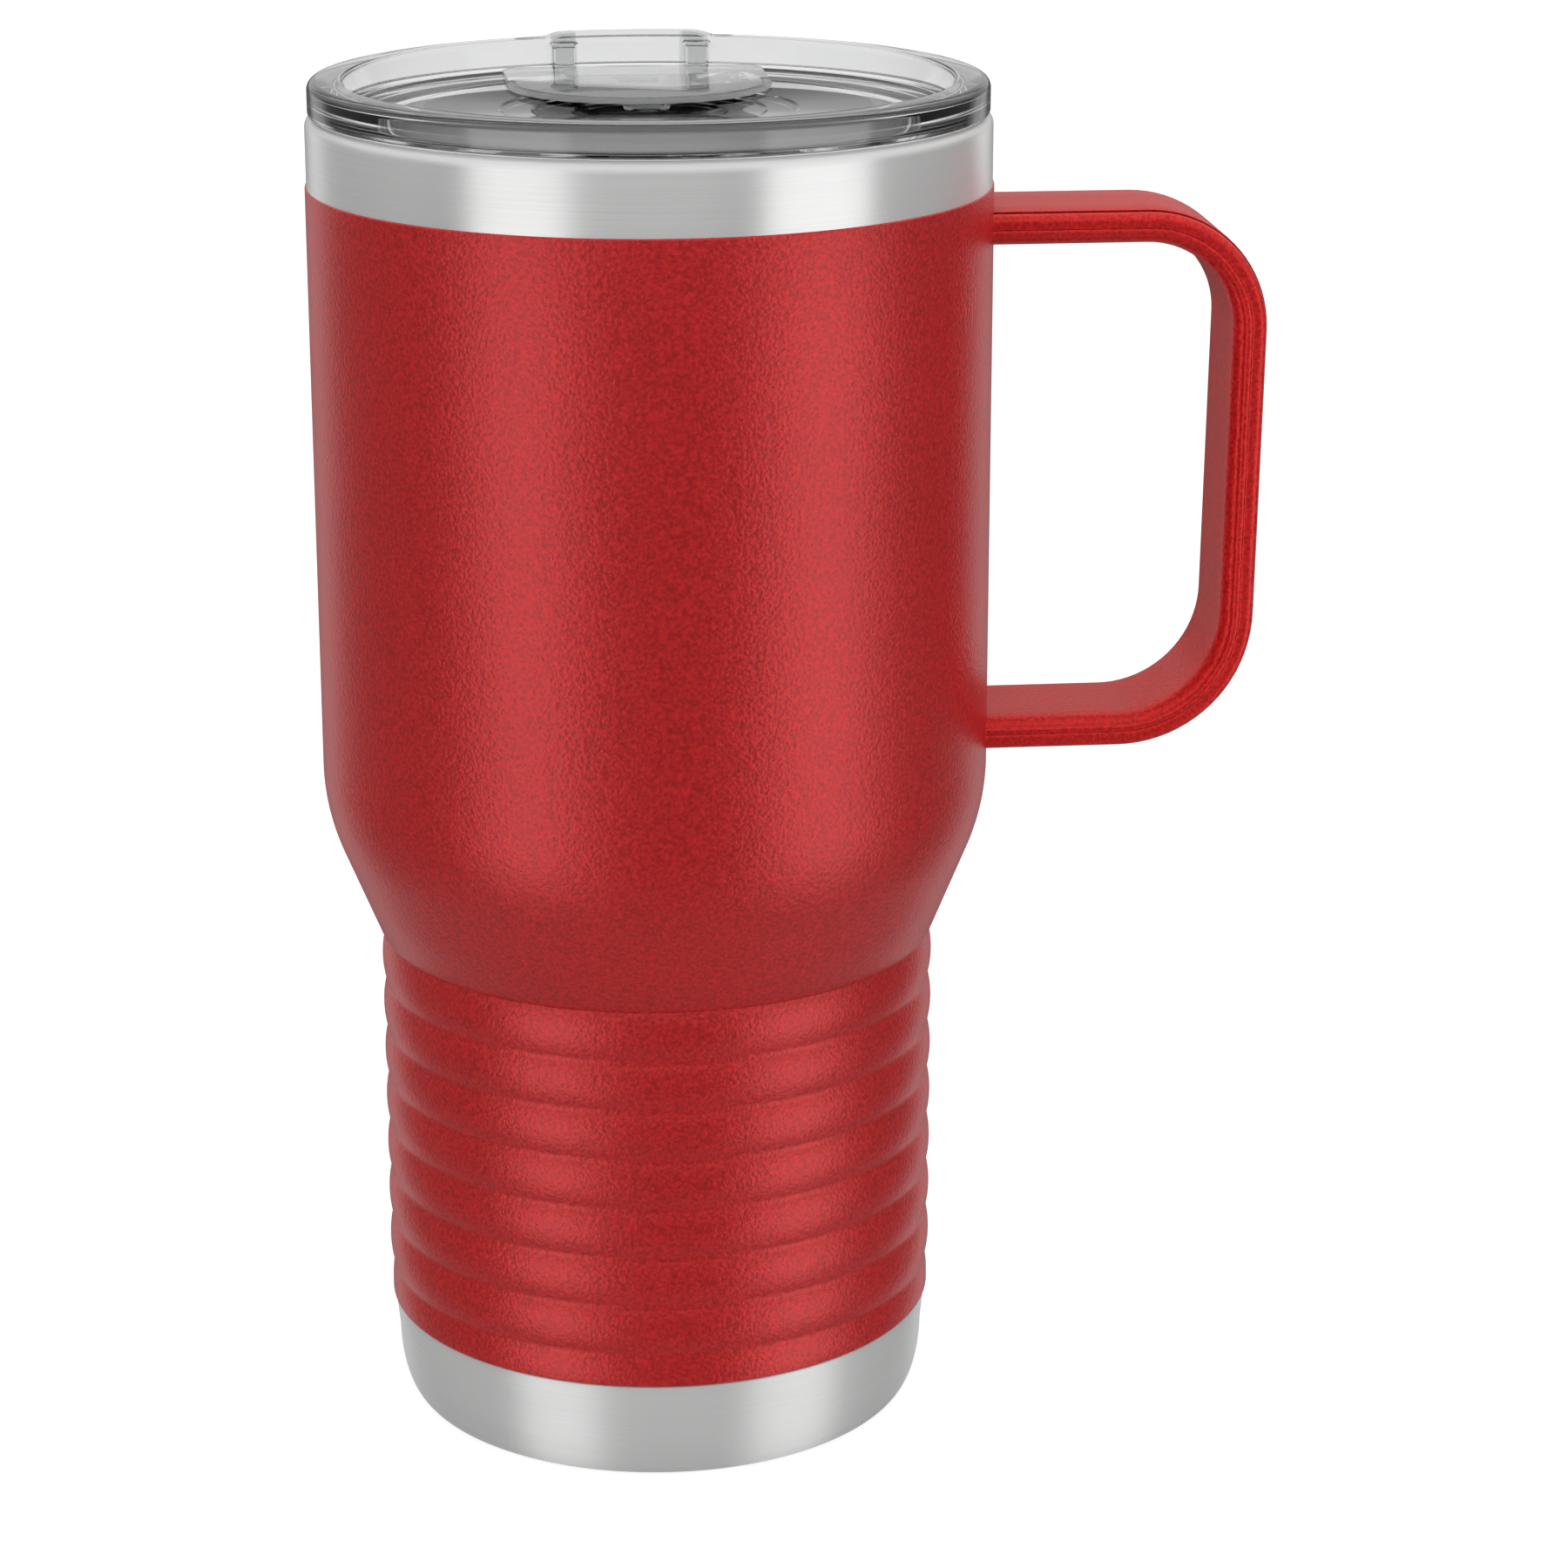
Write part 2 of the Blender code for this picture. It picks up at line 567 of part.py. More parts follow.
def slider_front(inset):
    """The half-round front edge, from its right end to its left, as (x, y) points."""
    centre = SLIDER_NEAR + SLIDER_HALF_WIDTH
    return arc(0.0, centre, SLIDER_HALF_WIDTH - inset, SLIDER_HALF_WIDTH - inset, 0.0, -180.0, 12)


def slider_outline():
    """A D: a straight-sided plate with a half-round front, its back following the lid's wall."""
    back_angle = math.degrees(math.asin(SLIDER_HALF_WIDTH / SLIDER_FAR_RADIUS))
    back = arc(0.0, 0.0, SLIDER_FAR_RADIUS, SLIDER_FAR_RADIUS, 90.0 + back_angle, 90.0 - back_angle, 6)
    # The middle stays clear of the two posts.
    return slider_front(0.0) + [(x, min(y, post_face() - POST_CLEARANCE)) for x, y in back]


def make_slider(group, cutters):
    """The sliding plate, with a grip rim, a stem through the slot and a housing for its seal."""
    low = LID_FLOOR_TOP + GAP
    high = low + SLIDER_THICKNESS
    clear = finish("slider_clear", CLEAR, 0.08, 0.0, alpha=CLEAR_ALPHA)
    plate = extruded("slider", slider_outline(), low, high, clear, group)
    rim = slider_front(ROOT) + list(reversed(slider_front(ROOT + GRIP_WIDTH)))
    combine(plate, extruded("grip_rim", rim, high - ROOT, high + GRIP_RISE, None, cutters), "UNION")
    stem_low = LID_FLOOR_BOTTOM - GAP - RETAINER_THICKNESS - STEM_END
    stem = box(
        "stem", (-STEM_HALF_WIDTH, STEM_NEAR, stem_low), (STEM_HALF_WIDTH, STEM_FAR, low + ROOT), cutters
    )
    combine(plate, stem, "UNION")
    pocket_half = SIP_HALF_WIDTH + SEAL_MARGIN + GAP
    pocket_near = SIP_NEAR - SEAL_MARGIN - GAP
    pocket_far = SIP_FAR - SEAL_FAR_INSET + GAP
    pocket_top = low + SEAL_THICKNESS + GAP
    housing = box(
        "seal_housing",
        (-pocket_half - SEAL_HOUSING, pocket_near - SEAL_HOUSING, high - ROOT),
        (pocket_half + SEAL_HOUSING, pocket_far + SEAL_HOUSING, pocket_top + SEAL_HOUSING),
        cutters,
    )
    combine(plate, housing, "UNION")
    pocket = box(
        "seal_pocket",
        (-pocket_half, pocket_near, low - CUT_MARGIN),
        (pocket_half, pocket_far, pocket_top),
        cutters,
    )
    combine(plate, pocket, "DIFFERENCE")
    return plate


def make_slider_seal(group):
    """The silicone pad in the slider's pocket, over the drinking hole."""
    low = LID_FLOOR_TOP + GAP
    return box(
        "slider_seal",
        (-SIP_HALF_WIDTH - SEAL_MARGIN, SIP_NEAR - SEAL_MARGIN, low),
        (SIP_HALF_WIDTH + SEAL_MARGIN, SIP_FAR - SEAL_FAR_INSET, low + SEAL_THICKNESS),
        group,
        finish("slider_silicone", SILICONE, 0.5, 0.0),
    )


def make_slider_retainer(group, cutters):
    """The clip under the floor that keeps the stem in its slot."""
    high = LID_FLOOR_BOTTOM - GAP
    clip = box(
        "slider_retainer",
        (-RETAINER_HALF_WIDTH, STEM_NEAR - RETAINER_MARGIN, high - RETAINER_THICKNESS),
        (RETAINER_HALF_WIDTH, STEM_FAR + RETAINER_MARGIN, high),
        group,
        finish("retainer_plastic", RETAINER_WHITE, 0.3, 0.0),
    )
    hole = box(
        "stem_hole",
        (-STEM_HALF_WIDTH - GAP, STEM_NEAR - GAP, high - RETAINER_THICKNESS - CUT_MARGIN),
        (STEM_HALF_WIDTH + GAP, STEM_FAR + GAP, high + CUT_MARGIN),
        cutters,
    )
    combine(clip, hole, "DIFFERENCE")
    soften(clip, RETAINER_EDGE)
    return clip


def make_frame(name, group, pieces, axis_point):
    """An empty on a moving body's axis, which carries its pieces."""
    empty = bpy.data.objects.new(name, None)
    empty.location = axis_point
    group.objects.link(empty)
    for piece in pieces:
        piece.parent = empty
        piece.matrix_parent_inverse = Matrix.Translation(axis_point).inverted()
    return empty


def main():
    for old in list(bpy.data.objects):
        bpy.data.objects.remove(old)
    parts = collection("insulated_travel_mug")
    cutters = collection("cutters")

    make_outer_shell(parts)
    make_inner_liner(parts)
    make_outer_bottom(parts)
    make_base_cover(parts)
    make_port_seal(parts)
    make_getter(parts)
    strap_coat = finish("strap_coat", RED, 0.45, 0.0)
    make_strap("handle_outer_strap", True, strap_coat, parts, cutters)
    make_strap("handle_inner_strap", False, strap_coat, parts, cutters)
    lid = make_lid_body(parts, cutters)
    gasket = make_lid_gasket(parts)
    slider = make_slider(parts, cutters)
    seal = make_slider_seal(parts)
    retainer = make_slider_retainer(parts, cutters)
    lid_frame = make_frame("lid_frame", parts, [lid, gasket], (0.0, 0.0, RIM_TOP))
    slide_frame = make_frame("slide_frame", parts, [slider, seal, retainer], (0.0, STEM_NEAR, LID_FLOOR_TOP))
    slide_frame.parent = lid_frame
    slide_frame.matrix_parent_inverse = Matrix.Translation((0.0, 0.0, RIM_TOP)).inverted()


main()
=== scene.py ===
"""The looks of the insulated travel mug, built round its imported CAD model.

Metres, +Z up, the mug's axis on Z, the handle towards +X, the lid's drinking edge towards +Y.
"""

import math

import bmesh
import bpy
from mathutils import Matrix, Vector


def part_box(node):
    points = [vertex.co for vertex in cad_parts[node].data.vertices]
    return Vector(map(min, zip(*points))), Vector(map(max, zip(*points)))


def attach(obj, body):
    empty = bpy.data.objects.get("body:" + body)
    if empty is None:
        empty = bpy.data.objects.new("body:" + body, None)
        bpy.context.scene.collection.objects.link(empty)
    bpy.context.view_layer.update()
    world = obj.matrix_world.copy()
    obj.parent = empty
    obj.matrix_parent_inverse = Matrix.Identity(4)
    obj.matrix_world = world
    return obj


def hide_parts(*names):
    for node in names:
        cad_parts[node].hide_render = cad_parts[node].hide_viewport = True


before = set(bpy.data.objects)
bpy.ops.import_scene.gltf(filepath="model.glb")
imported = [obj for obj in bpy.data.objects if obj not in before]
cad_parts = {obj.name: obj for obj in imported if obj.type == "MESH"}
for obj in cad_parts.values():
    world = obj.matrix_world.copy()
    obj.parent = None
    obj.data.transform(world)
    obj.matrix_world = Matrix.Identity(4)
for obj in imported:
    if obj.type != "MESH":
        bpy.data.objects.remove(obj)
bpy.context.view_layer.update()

MM = 0.001
# Faces round a piece of revolution, and the radius below which a point is on its axis
ROUND_STEPS = 192
ON_AXIS = 1e-7
# Edges sharper than this, in degrees, are shaded as edges.
SHARP_ANGLE = 32.0
# The steel walls' thickness
SHEET = 0.6 * MM

# Places that the frame gives
SHELL_LOW, SHELL_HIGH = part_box("outer_shell")
LINER_LOW, LINER_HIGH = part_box("inner_liner")
BASE_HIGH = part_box("outer_bottom")[1]
COVER_LOW, COVER_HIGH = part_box("base_cover")
STRAP_LOW, STRAP_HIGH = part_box("handle_outer_strap")
LID_LOW, LID_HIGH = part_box("lid_body")
GASKET_LOW, GASKET_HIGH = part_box("lid_gasket")
SLIDER_LOW, SLIDER_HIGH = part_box("slider")
SEAL_LOW, SEAL_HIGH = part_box("slider_seal")
CLIP_LOW, CLIP_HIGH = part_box("slider_retainer")

BODY_RADIUS = SHELL_HIGH.x
COLLAR_RADIUS = LINER_HIGH.x
BASE_TOP_RADIUS = BASE_HIGH.x
SHELL_TOP = SHELL_HIGH.z
RIM_TOP = LINER_HIGH.z
BASE_TOP = SHELL_LOW.z
LINER_FLOOR = LINER_LOW.z + SHEET

# Wall details
COAT_EDGE = 0.25 * MM
COAT_LINE = SHELL_TOP + 0.1 * MM
RIB_CREST = 36.6 * MM
RIB_DEPTH = 0.55 * MM
RIB_PITCH = 6.7 * MM
RIB_COUNT = 7
RIB_STEPS = 14
RIB_BLUNTNESS = 2.1
VALLEY_ROUNDING = 0.004
BAND_RADIUS = BASE_TOP_RADIUS + 0.3 * MM
BAND_SHOULDER = 3.0 * MM
TAPER_BOTTOM = BASE_TOP + 51.2 * MM
TAPER_TOP = BASE_TOP + 74.7 * MM
TAPER_ANGLE = math.radians(22.1)
TAPER_BLEND = 28.6 * MM
MOUTH_RADIUS = COLLAR_RADIUS - 2.8 * MM
LIP_RADIUS = 1.4 * MM
UPPER_BORE = COLLAR_RADIUS - 3.8 * MM
LOWER_BORE = 32.4 * MM
LOWER_BORE_TOP = TAPER_BOTTOM - 3 * MM
VESSEL_CORNER = 8.0 * MM
MOUTH_BOTTOM = RIM_TOP - 17.0 * MM
UPPER_BORE_TOP = RIM_TOP - 21.0 * MM

# Lid details
FLANGE_TOP = LID_HIGH.z - 0.6 * MM
FLANGE_RADIUS = LID_HIGH.x
RING_INNER_TOP = FLANGE_RADIUS - 4.6 * MM
RING_INNER_LOW = FLANGE_RADIUS - 5.5 * MM
FLOOR_TOP = FLANGE_TOP - 4.0 * MM
FLOOR_BOTTOM = FLOOR_TOP - 2.0 * MM
PLUG_RADIUS = 39.5 * MM
PLUG_BORE = 36.6 * MM
PLUG_BOTTOM = LID_LOW.z
SEAT_RADIUS = 38.0 * MM
SPOUT_HALF_WIDTH = 9.0 * MM
SPOUT_SLOPE = 4.0 * MM
SPOUT_STEPS = 48
POST_PLACE = 8.9 * MM
POST_RADIUS = 1.5 * MM
SIP_HALF_WIDTH = 8.0 * MM
SIP_NEAR = 27.0 * MM
SIP_FAR = 33.4 * MM
VENT_RADIUS = 1.3 * MM
VENT_PLACE = (12.5 * MM, SIP_NEAR)
# Radius of each round step in the floor, and how deep it is inside and outside that radius
DISH_STEPS = (
    (10.0 * MM, 0.6 * MM, 0.4 * MM),
    (15.0 * MM, 0.4 * MM, 0.2 * MM),
    (19.0 * MM, 0.2 * MM, 0.0),
)
STEP_ROUND = 0.04 * MM

# Slider details
SLIDER_HALF_WIDTH = SLIDER_HIGH.x
SLIDER_NEAR = SLIDER_LOW.y
SLIDER_TRAVEL = 13.0 * MM
PLATE_LOW = FLOOR_TOP + 0.06 * MM
PLATE_HIGH = PLATE_LOW + 0.60 * MM
PAD_HIGH = PLATE_LOW + 0.25 * MM
GRIP_WIDTH = 1.1 * MM
SCALLOP = 0.22 * MM
SCALLOP_COUNT = 24.0
FRONT_STEPS = 144
STEM_HALF_WIDTH = 2.6 * MM
STEM_NEAR = 18.6 * MM
STEM_FAR = 23.6 * MM
SLOT_MARGIN = 0.4 * MM
CLIP_MARGIN = 0.3 * MM

# Camera: the photo's lens is shifted, and this plain one is further off, higher and tipped down.
CAMERA_TURN = math.radians(4.0)
CAMERA_DISTANCE = 0.540
CAMERA_HEIGHT = 0.250
CAMERA_PITCH = math.radians(17.1)
CAMERA_PAN = math.radians(1.8)
CAMERA_LENS = 98.0


# ---------------------------------------------------------------- meshes


def arc(centre_r, centre_z, radius_r, radius_z, start, end, steps):
    """Points on an elliptic arc; angles in degrees, 0 pointing outwards and 90 up."""
    points = []
    for i in range(steps + 1):
        angle = math.radians(start + (end - start) * i / steps)
        points.append((centre_r + radius_r * math.cos(angle), centre_z + radius_z * math.sin(angle)))
    return points


def new_piece(name, shape, material=None, sharp=SHARP_ANGLE):
    """An object made from a bmesh, which is freed."""
    mesh = bpy.data.meshes.new(name)
    shape.to_mesh(mesh)
    shape.free()
    if material:
        mesh.materials.append(material)
    mesh.shade_smooth()
    mesh.set_sharp_from_angle(angle=math.radians(sharp))
    piece = bpy.data.objects.new(name, mesh)
    bpy.context.scene.collection.objects.link(piece)
    return piece


def lathe(name, outline, material, steps=ROUND_STEPS, closed=True, sharp=SHARP_ANGLE, centre=(0.0, 0.0)):
    """A piece of revolution; the outline of (radius, height) runs down its outer side.

    An outline that isn't closed starts and ends on the axis.
    """
    shape = bmesh.new()
    rings = []
    for radius, height in outline:
        if radius < ON_AXIS:
            rings.append([shape.verts.new((centre[0], centre[1], height))])
            continue
        ring = []
        for i in range(steps):
            angle = 2.0 * math.pi * i / steps
            x = centre[0] + radius * math.cos(angle)
            y = centre[1] + radius * math.sin(angle)
            ring.append(shape.verts.new((x, y, height)))
        rings.append(ring)
    pairs = list(zip(rings, rings[1:]))
    if closed:
        pairs.append((rings[-1], rings[0]))
    for upper, lower in pairs:
        for i in range(steps):
            j = (i + 1) % steps
            corners = []
            # A ring on the axis is one point, which is taken once.
            for ring, k in ((upper, i), (lower, i), (lower, j), (upper, j)):
                vert = ring[k % len(ring)]
                if vert not in corners:
                    corners.append(vert)
            if len(corners) > 2:
                shape.faces.new(corners)
    return new_piece(name, shape, material, sharp)


def prism(name, outline, low, high, material=None, sharp=SHARP_ANGLE):
    """A flat outline of (x, y) points, anticlockwise, given a height."""
    shape = bmesh.new()
    bottom = [shape.verts.new((x, y, low)) for x, y in outline]
    top = [shape.verts.new((x, y, high)) for x, y in outline]
    shape.faces.new(list(reversed(bottom)))
    shape.faces.new(top)
    count = len(outline)
    for i in range(count):
        j = (i + 1) % count
        shape.faces.new((bottom[i], bottom[j], top[j], top[i]))
    return new_piece(name, shape, material, sharp)


def block(name, low, high, material=None):
    """A box between two corners."""
    outline = [(low[0], low[1]), (high[0], low[1]), (high[0], high[1]), (low[0], high[1])]
    return prism(name, outline, low[2], high[2], material)


def skin(shape, rings):
    """Faces along a row of equal rings, and over both of its ends."""
    count = len(rings[0])
    for first, second in zip(rings, rings[1:]):
        for i in range(count):
            j = (i + 1) % count
            shape.faces.new((first[i], first[j], second[j], second[i]))
    shape.faces.new(rings[0])
    shape.faces.new(list(reversed(rings[-1])))


def combine(piece, tools, operation):
    """Join or cut a piece with the tools, which are used up."""
    for tool in tools:
        change = piece.modifiers.new(tool.name, "BOOLEAN")
        change.operation = operation
        change.object = tool
        change.solver = "EXACT"
    apply_modifiers(piece)
    for tool in tools:
        bpy.data.objects.remove(tool)


def apply_modifiers(piece):
    """Gives a piece the mesh that its modifiers make, and shades it again."""
    bpy.context.view_layer.update()
    solid = piece.evaluated_get(bpy.context.evaluated_depsgraph_get())
    mesh = bpy.data.meshes.new_from_object(solid)
    piece.modifiers.clear()
    piece.data = mesh
    mesh.shade_smooth()
    mesh.set_sharp_from_angle(angle=math.radians(SHARP_ANGLE))


def round_edges(piece, width, steps=3, angle=30.0):
    """Rounds the edges that are sharper than an angle in degrees."""
    bevel = piece.modifiers.new("Round edges", "BEVEL")
    bevel.width = width
    bevel.segments = steps
    bevel.limit_method = "ANGLE"
    bevel.angle_limit = math.radians(angle)
    apply_modifiers(piece)


# ---------------------------------------------------------------- materials


def shader_tree(name):
    """A new material, with its nodes, its links and its Principled shader."""
    material = bpy.data.materials.new(name)
    material.use_nodes = True
    nodes = material.node_tree.nodes
    return material, nodes, material.node_tree.links, nodes["Principled BSDF"]


def place_node(nodes, links, scale=(1.0, 1.0, 1.0)):
    """Object coordinates, stretched by a scale for each axis."""
    where = nodes.new("ShaderNodeTexCoord")
    mapping = nodes.new("ShaderNodeMapping")
    mapping.inputs["Scale"].default_value = scale
    links.new(where.outputs["Object"], mapping.inputs["Vector"])
    return mapping.outputs["Vector"]


def noise_node(nodes, links, vector, scale, detail=2.0, roughness=0.5):
    """Noise from 0 to 1, with a scale in swells for each metre."""
    noise = nodes.new("ShaderNodeTexNoise")
    noise.inputs["Scale"].default_value = scale
    noise.inputs["Detail"].default_value = detail
    noise.inputs["Roughness"].default_value = roughness
    links.new(vector, noise.inputs["Vector"])
    return noise.outputs["Fac"]


def range_node(nodes, links, value, low, high, start=0.3, end=0.7):
    """Spreads a value from start..end over low..high."""
    spread = nodes.new("ShaderNodeMapRange")
    spread.inputs["From Min"].default_value = start
    spread.inputs["From Max"].default_value = end
    spread.inputs["To Min"].default_value = low
    spread.inputs["To Max"].default_value = high
    links.new(value, spread.inputs["Value"])
    return spread.outputs["Result"]


def math_node(nodes, links, operation, first, second=None):
    """One step of arithmetic on linked values or plain numbers."""
    node = nodes.new("ShaderNodeMath")
    node.operation = operation
    for socket, value in zip(node.inputs, (first, second)):
        if isinstance(value, float):
            socket.default_value = value
        elif value is not None:
            links.new(value, socket)
    return node.outputs["Value"]


def mix_values(nodes, links, factor, first, second):
    """Blends from a linked value to another, or to a plain number."""
    mix = nodes.new("ShaderNodeMix")
    links.new(factor, mix.inputs["Factor"])
    links.new(first, mix.inputs["A"])
    if isinstance(second, float):
        mix.inputs["B"].default_value = second
    else:
        links.new(second, mix.inputs["B"])
    return mix.outputs["Result"]


def mix_colours(nodes, links, factor, first, second, blend="MIX"):
    """Blends two colours, each of them plain or linked."""
    mix = nodes.new("ShaderNodeMix")
    mix.data_type = "RGBA"
    mix.blend_type = blend
    for name, colour in (("A", first), ("B", second)):
        if isinstance(colour, tuple):
            mix.inputs[name].default_value = (*colour, 1.0)
        else:
            links.new(colour, mix.inputs[name])
    if isinstance(factor, float):
        mix.inputs["Factor"].default_value = factor
    else:
        links.new(factor, mix.inputs["Factor"])
    return mix.outputs["Result"]


def length_node(nodes, links, vector):
    """A linked vector's length."""
    length = nodes.new("ShaderNodeVectorMath")
    length.operation = "LENGTH"
    links.new(vector, length.inputs[0])
    return length.outputs["Value"]


def bump_node(nodes, links, height, distance, strength=1.0, before=None):
    """A normal bumped by a height, on top of the one before it."""
    bump = nodes.new("ShaderNodeBump")
    bump.inputs["Strength"].default_value = strength
    bump.inputs["Distance"].default_value = distance
    links.new(height, bump.inputs["Height"])
    if before is not None:
        links.new(before, bump.inputs["Normal"])
    return bump.outputs["Normal"]


def powder_coat(name, painted_light_lift, edge_tint):
    """Satin red powder coat: a fine raised grain with painted highlights on its crests and painted shade in
    its hollows, over a slow drift in colour tone.

    A painted-light lift brightens its colour where too little light falls, and the edge tint colours its
    sheen at grazing angles.
    """
    material, nodes, links, shader = shader_tree(name)
    place = place_node(nodes, links)
    grain = noise_node(nodes, links, place, 2100.0, 2.0, 0.55)
    swell = noise_node(nodes, links, place, 700.0, 1.0)
    drift = noise_node(nodes, links, place, 60.0, 2.0)
    crest = range_node(nodes, links, grain, 0.0, 1.0, 0.32, 0.68)
    # The lift is painted light: it brightens the coat's colour for a piece that gets too little light.
    deep = tuple(painted_light_lift * c for c in (0.47, 0.0120, 0.0130))
    pale = tuple(painted_light_lift * c for c in (0.53, 0.0145, 0.0155))
    slow = mix_colours(nodes, links, drift, deep, pale)
    # Painted light: the grain's crests are painted paler and its hollows darker, in place of the highlights
    # and shade of its bumps.
    grain_painted_light = mix_colours(nodes, links, crest, (0.70, 0.70, 0.70), (1.22, 1.22, 1.22))
    links.new(mix_colours(nodes, links, 1.0, slow, grain_painted_light, "MULTIPLY"), shader.inputs["Base Color"])
    links.new(range_node(nodes, links, grain, 0.30, 0.36), shader.inputs["Roughness"])
    shader.inputs["Metallic"].default_value = 0.30
    shader.inputs["Specular IOR Level"].default_value = 0.50
    shader.inputs["Specular Tint"].default_value = (*edge_tint, 1.0)
    soft = bump_node(nodes, links, swell, 0.06 * MM, 0.35)
    links.new(bump_node(nodes, links, grain, 0.09 * MM, 1.0, soft), shader.inputs["Normal"])
    return material


def brushed_steel(name, colour, rough_low, rough_high, grain=1.0, bore=None):
    """Steel brushed round the mug's axis: long hair lines, spread light up and down.

    A piece with a bore has painted shade inside the rolled mouth: a darker colour in place of the shade
    that falls down the bore.
    """
    material, nodes, links, shader = shader_tree(name)
    lines_place = place_node(nodes, links, (30.0, 30.0, 7000.0))
    lines = noise_node(nodes, links, lines_place, 1.0, 3.0, 0.6)
    cloud_place = place_node(nodes, links, (40.0, 40.0, 90.0))
    cloud = noise_node(nodes, links, cloud_place, 1.0, 2.0)
    shade = range_node(nodes, links, lines, 0.0, 1.0)
    darker = tuple(0.93 * c for c in colour)
    finish = mix_colours(nodes, links, shade, darker, colour)
    # Painted shade: the steel inside the mouth gets the darker bore colour.
    if bore:
        radius = length_node(nodes, links, place_node(nodes, links, (1.0, 1.0, 0.0)))
        start = MOUTH_RADIUS + 0.6 * MM
        outside = range_node(nodes, links, radius, 0.0, 1.0, start, start + 0.6 * MM)
        finish = mix_colours(nodes, links, outside, bore, finish)
    links.new(finish, shader.inputs["Base Color"])
    # Partly metallic, because the satin finish scatters much of the light.
    shader.inputs["Metallic"].default_value = 0.62
    links.new(range_node(nodes, links, cloud, rough_low, rough_high), shader.inputs["Roughness"])
    shader.inputs["Anisotropic"].default_value = 0.92
    shader.inputs["Anisotropic Rotation"].default_value = 0.25
    tangent = nodes.new("ShaderNodeTangent")
    tangent.direction_type = "RADIAL"
    tangent.axis = "Z"
    links.new(tangent.outputs["Tangent"], shader.inputs["Tangent"])
    links.new(bump_node(nodes, links, lines, 0.006 * MM, 0.5 * grain), shader.inputs["Normal"])
    return material


def near_posts(nodes, links, place):
    """1 at the lid's two posts, 0 elsewhere."""
    axes = nodes.new("ShaderNodeSeparateXYZ")
    links.new(place, axes.inputs["Vector"])
    aside = math_node(nodes, links, "ABSOLUTE", axes.outputs["X"])
    apart = math_node(nodes, links, "ABSOLUTE", math_node(nodes, links, "SUBTRACT", aside, POST_PLACE))
    across = range_node(nodes, links, apart, 1.0, 0.0, POST_RADIUS, POST_RADIUS + 0.3 * MM)
    forward = range_node(nodes, links, axes.outputs["Y"], 0.0, 1.0, SIP_FAR, SIP_FAR + 0.5 * MM)
    return math_node(nodes, links, "MULTIPLY", across, forward)


def near_grip(nodes, links, place):
    """1 on the slider's round front edge, 0 elsewhere; the half circle's centre is moved to 0."""
    flat = nodes.new("ShaderNodeVectorMath")
    flat.operation = "MULTIPLY_ADD"
    flat.inputs[1].default_value = (1.0, 1.0, 0.0)
    flat.inputs[2].default_value = (0.0, -(SLIDER_NEAR + SLIDER_HALF_WIDTH), 0.0)
    links.new(place, flat.inputs[0])
    radius = length_node(nodes, links, flat.outputs["Vector"])
    grip = SLIDER_HALF_WIDTH - GRIP_WIDTH - 0.2 * MM
    outside = range_node(nodes, links, radius, 0.0, 1.0, grip, grip + 0.2 * MM)
    axes = nodes.new("ShaderNodeSeparateXYZ")
    links.new(flat.outputs["Vector"], axes.inputs["Vector"])
    forward = range_node(nodes, links, axes.outputs["Y"], 1.0, 0.0, 1.0 * MM, 3.0 * MM)
    return math_node(nodes, links, "MULTIPLY", outside, forward)


def clear_plastic(name, tint, rough_low, rough_high, posts=False, grip=False):
    """Clear moulded plastic with faint flow lines and fine scuffs in its gloss.

    The posts, where there are any, are moulded thick and painted grey, a painted shade for the darkness of
    thick clear plastic. A grip is finely frosted.
    """
    material, nodes, links, shader = shader_tree(name)
    place = place_node(nodes, links)
    scuff = noise_node(nodes, links, place, 900.0, 3.0, 0.65)
    flow = noise_node(nodes, links, place, 70.0, 1.0)
    shade = range_node(nodes, links, flow, 0.0, 1.0)
    colour = mix_colours(nodes, links, shade, tint, tuple(min(1.0, c * 1.02) for c in tint))
    if posts:
        # Painted shade: the posts get a grey colour in place of the darkness seen through thick plastic.
        colour = mix_colours(nodes, links, near_posts(nodes, links, place), colour, (0.60, 0.61, 0.61))
    links.new(colour, shader.inputs["Base Color"])
    rough = range_node(nodes, links, scuff, rough_low, rough_high)
    if grip:
        rough = mix_values(nodes, links, near_grip(nodes, links, place), rough, 0.65)
    links.new(rough, shader.inputs["Roughness"])
    shader.inputs["Transmission Weight"].default_value = 1.0
    shader.inputs["IOR"].default_value = 1.49
    links.new(bump_node(nodes, links, flow, 0.05 * MM, 0.05), shader.inputs["Normal"])
    return material


def silicone():
    """Soft translucent rubber with a fine dusty bloom."""
    material, nodes, links, shader = shader_tree("silicone")
    place = place_node(nodes, links)
    dust = noise_node(nodes, links, place, 1200.0, 2.0)
    shade = range_node(nodes, links, dust, 0.0, 1.0)
    colour = mix_colours(nodes, links, shade, (0.62, 0.63, 0.63), (0.72, 0.73, 0.73))
    links.new(colour, shader.inputs["Base Color"])
    links.new(range_node(nodes, links, dust, 0.42, 0.56), shader.inputs["Roughness"])
    shader.inputs["Subsurface Weight"].default_value = 0.3
    shader.inputs["Subsurface Radius"].default_value = (1.0 * MM, 1.0 * MM, 1.0 * MM)
    links.new(bump_node(nodes, links, dust, 0.02 * MM, 0.4), shader.inputs["Normal"])
    return material


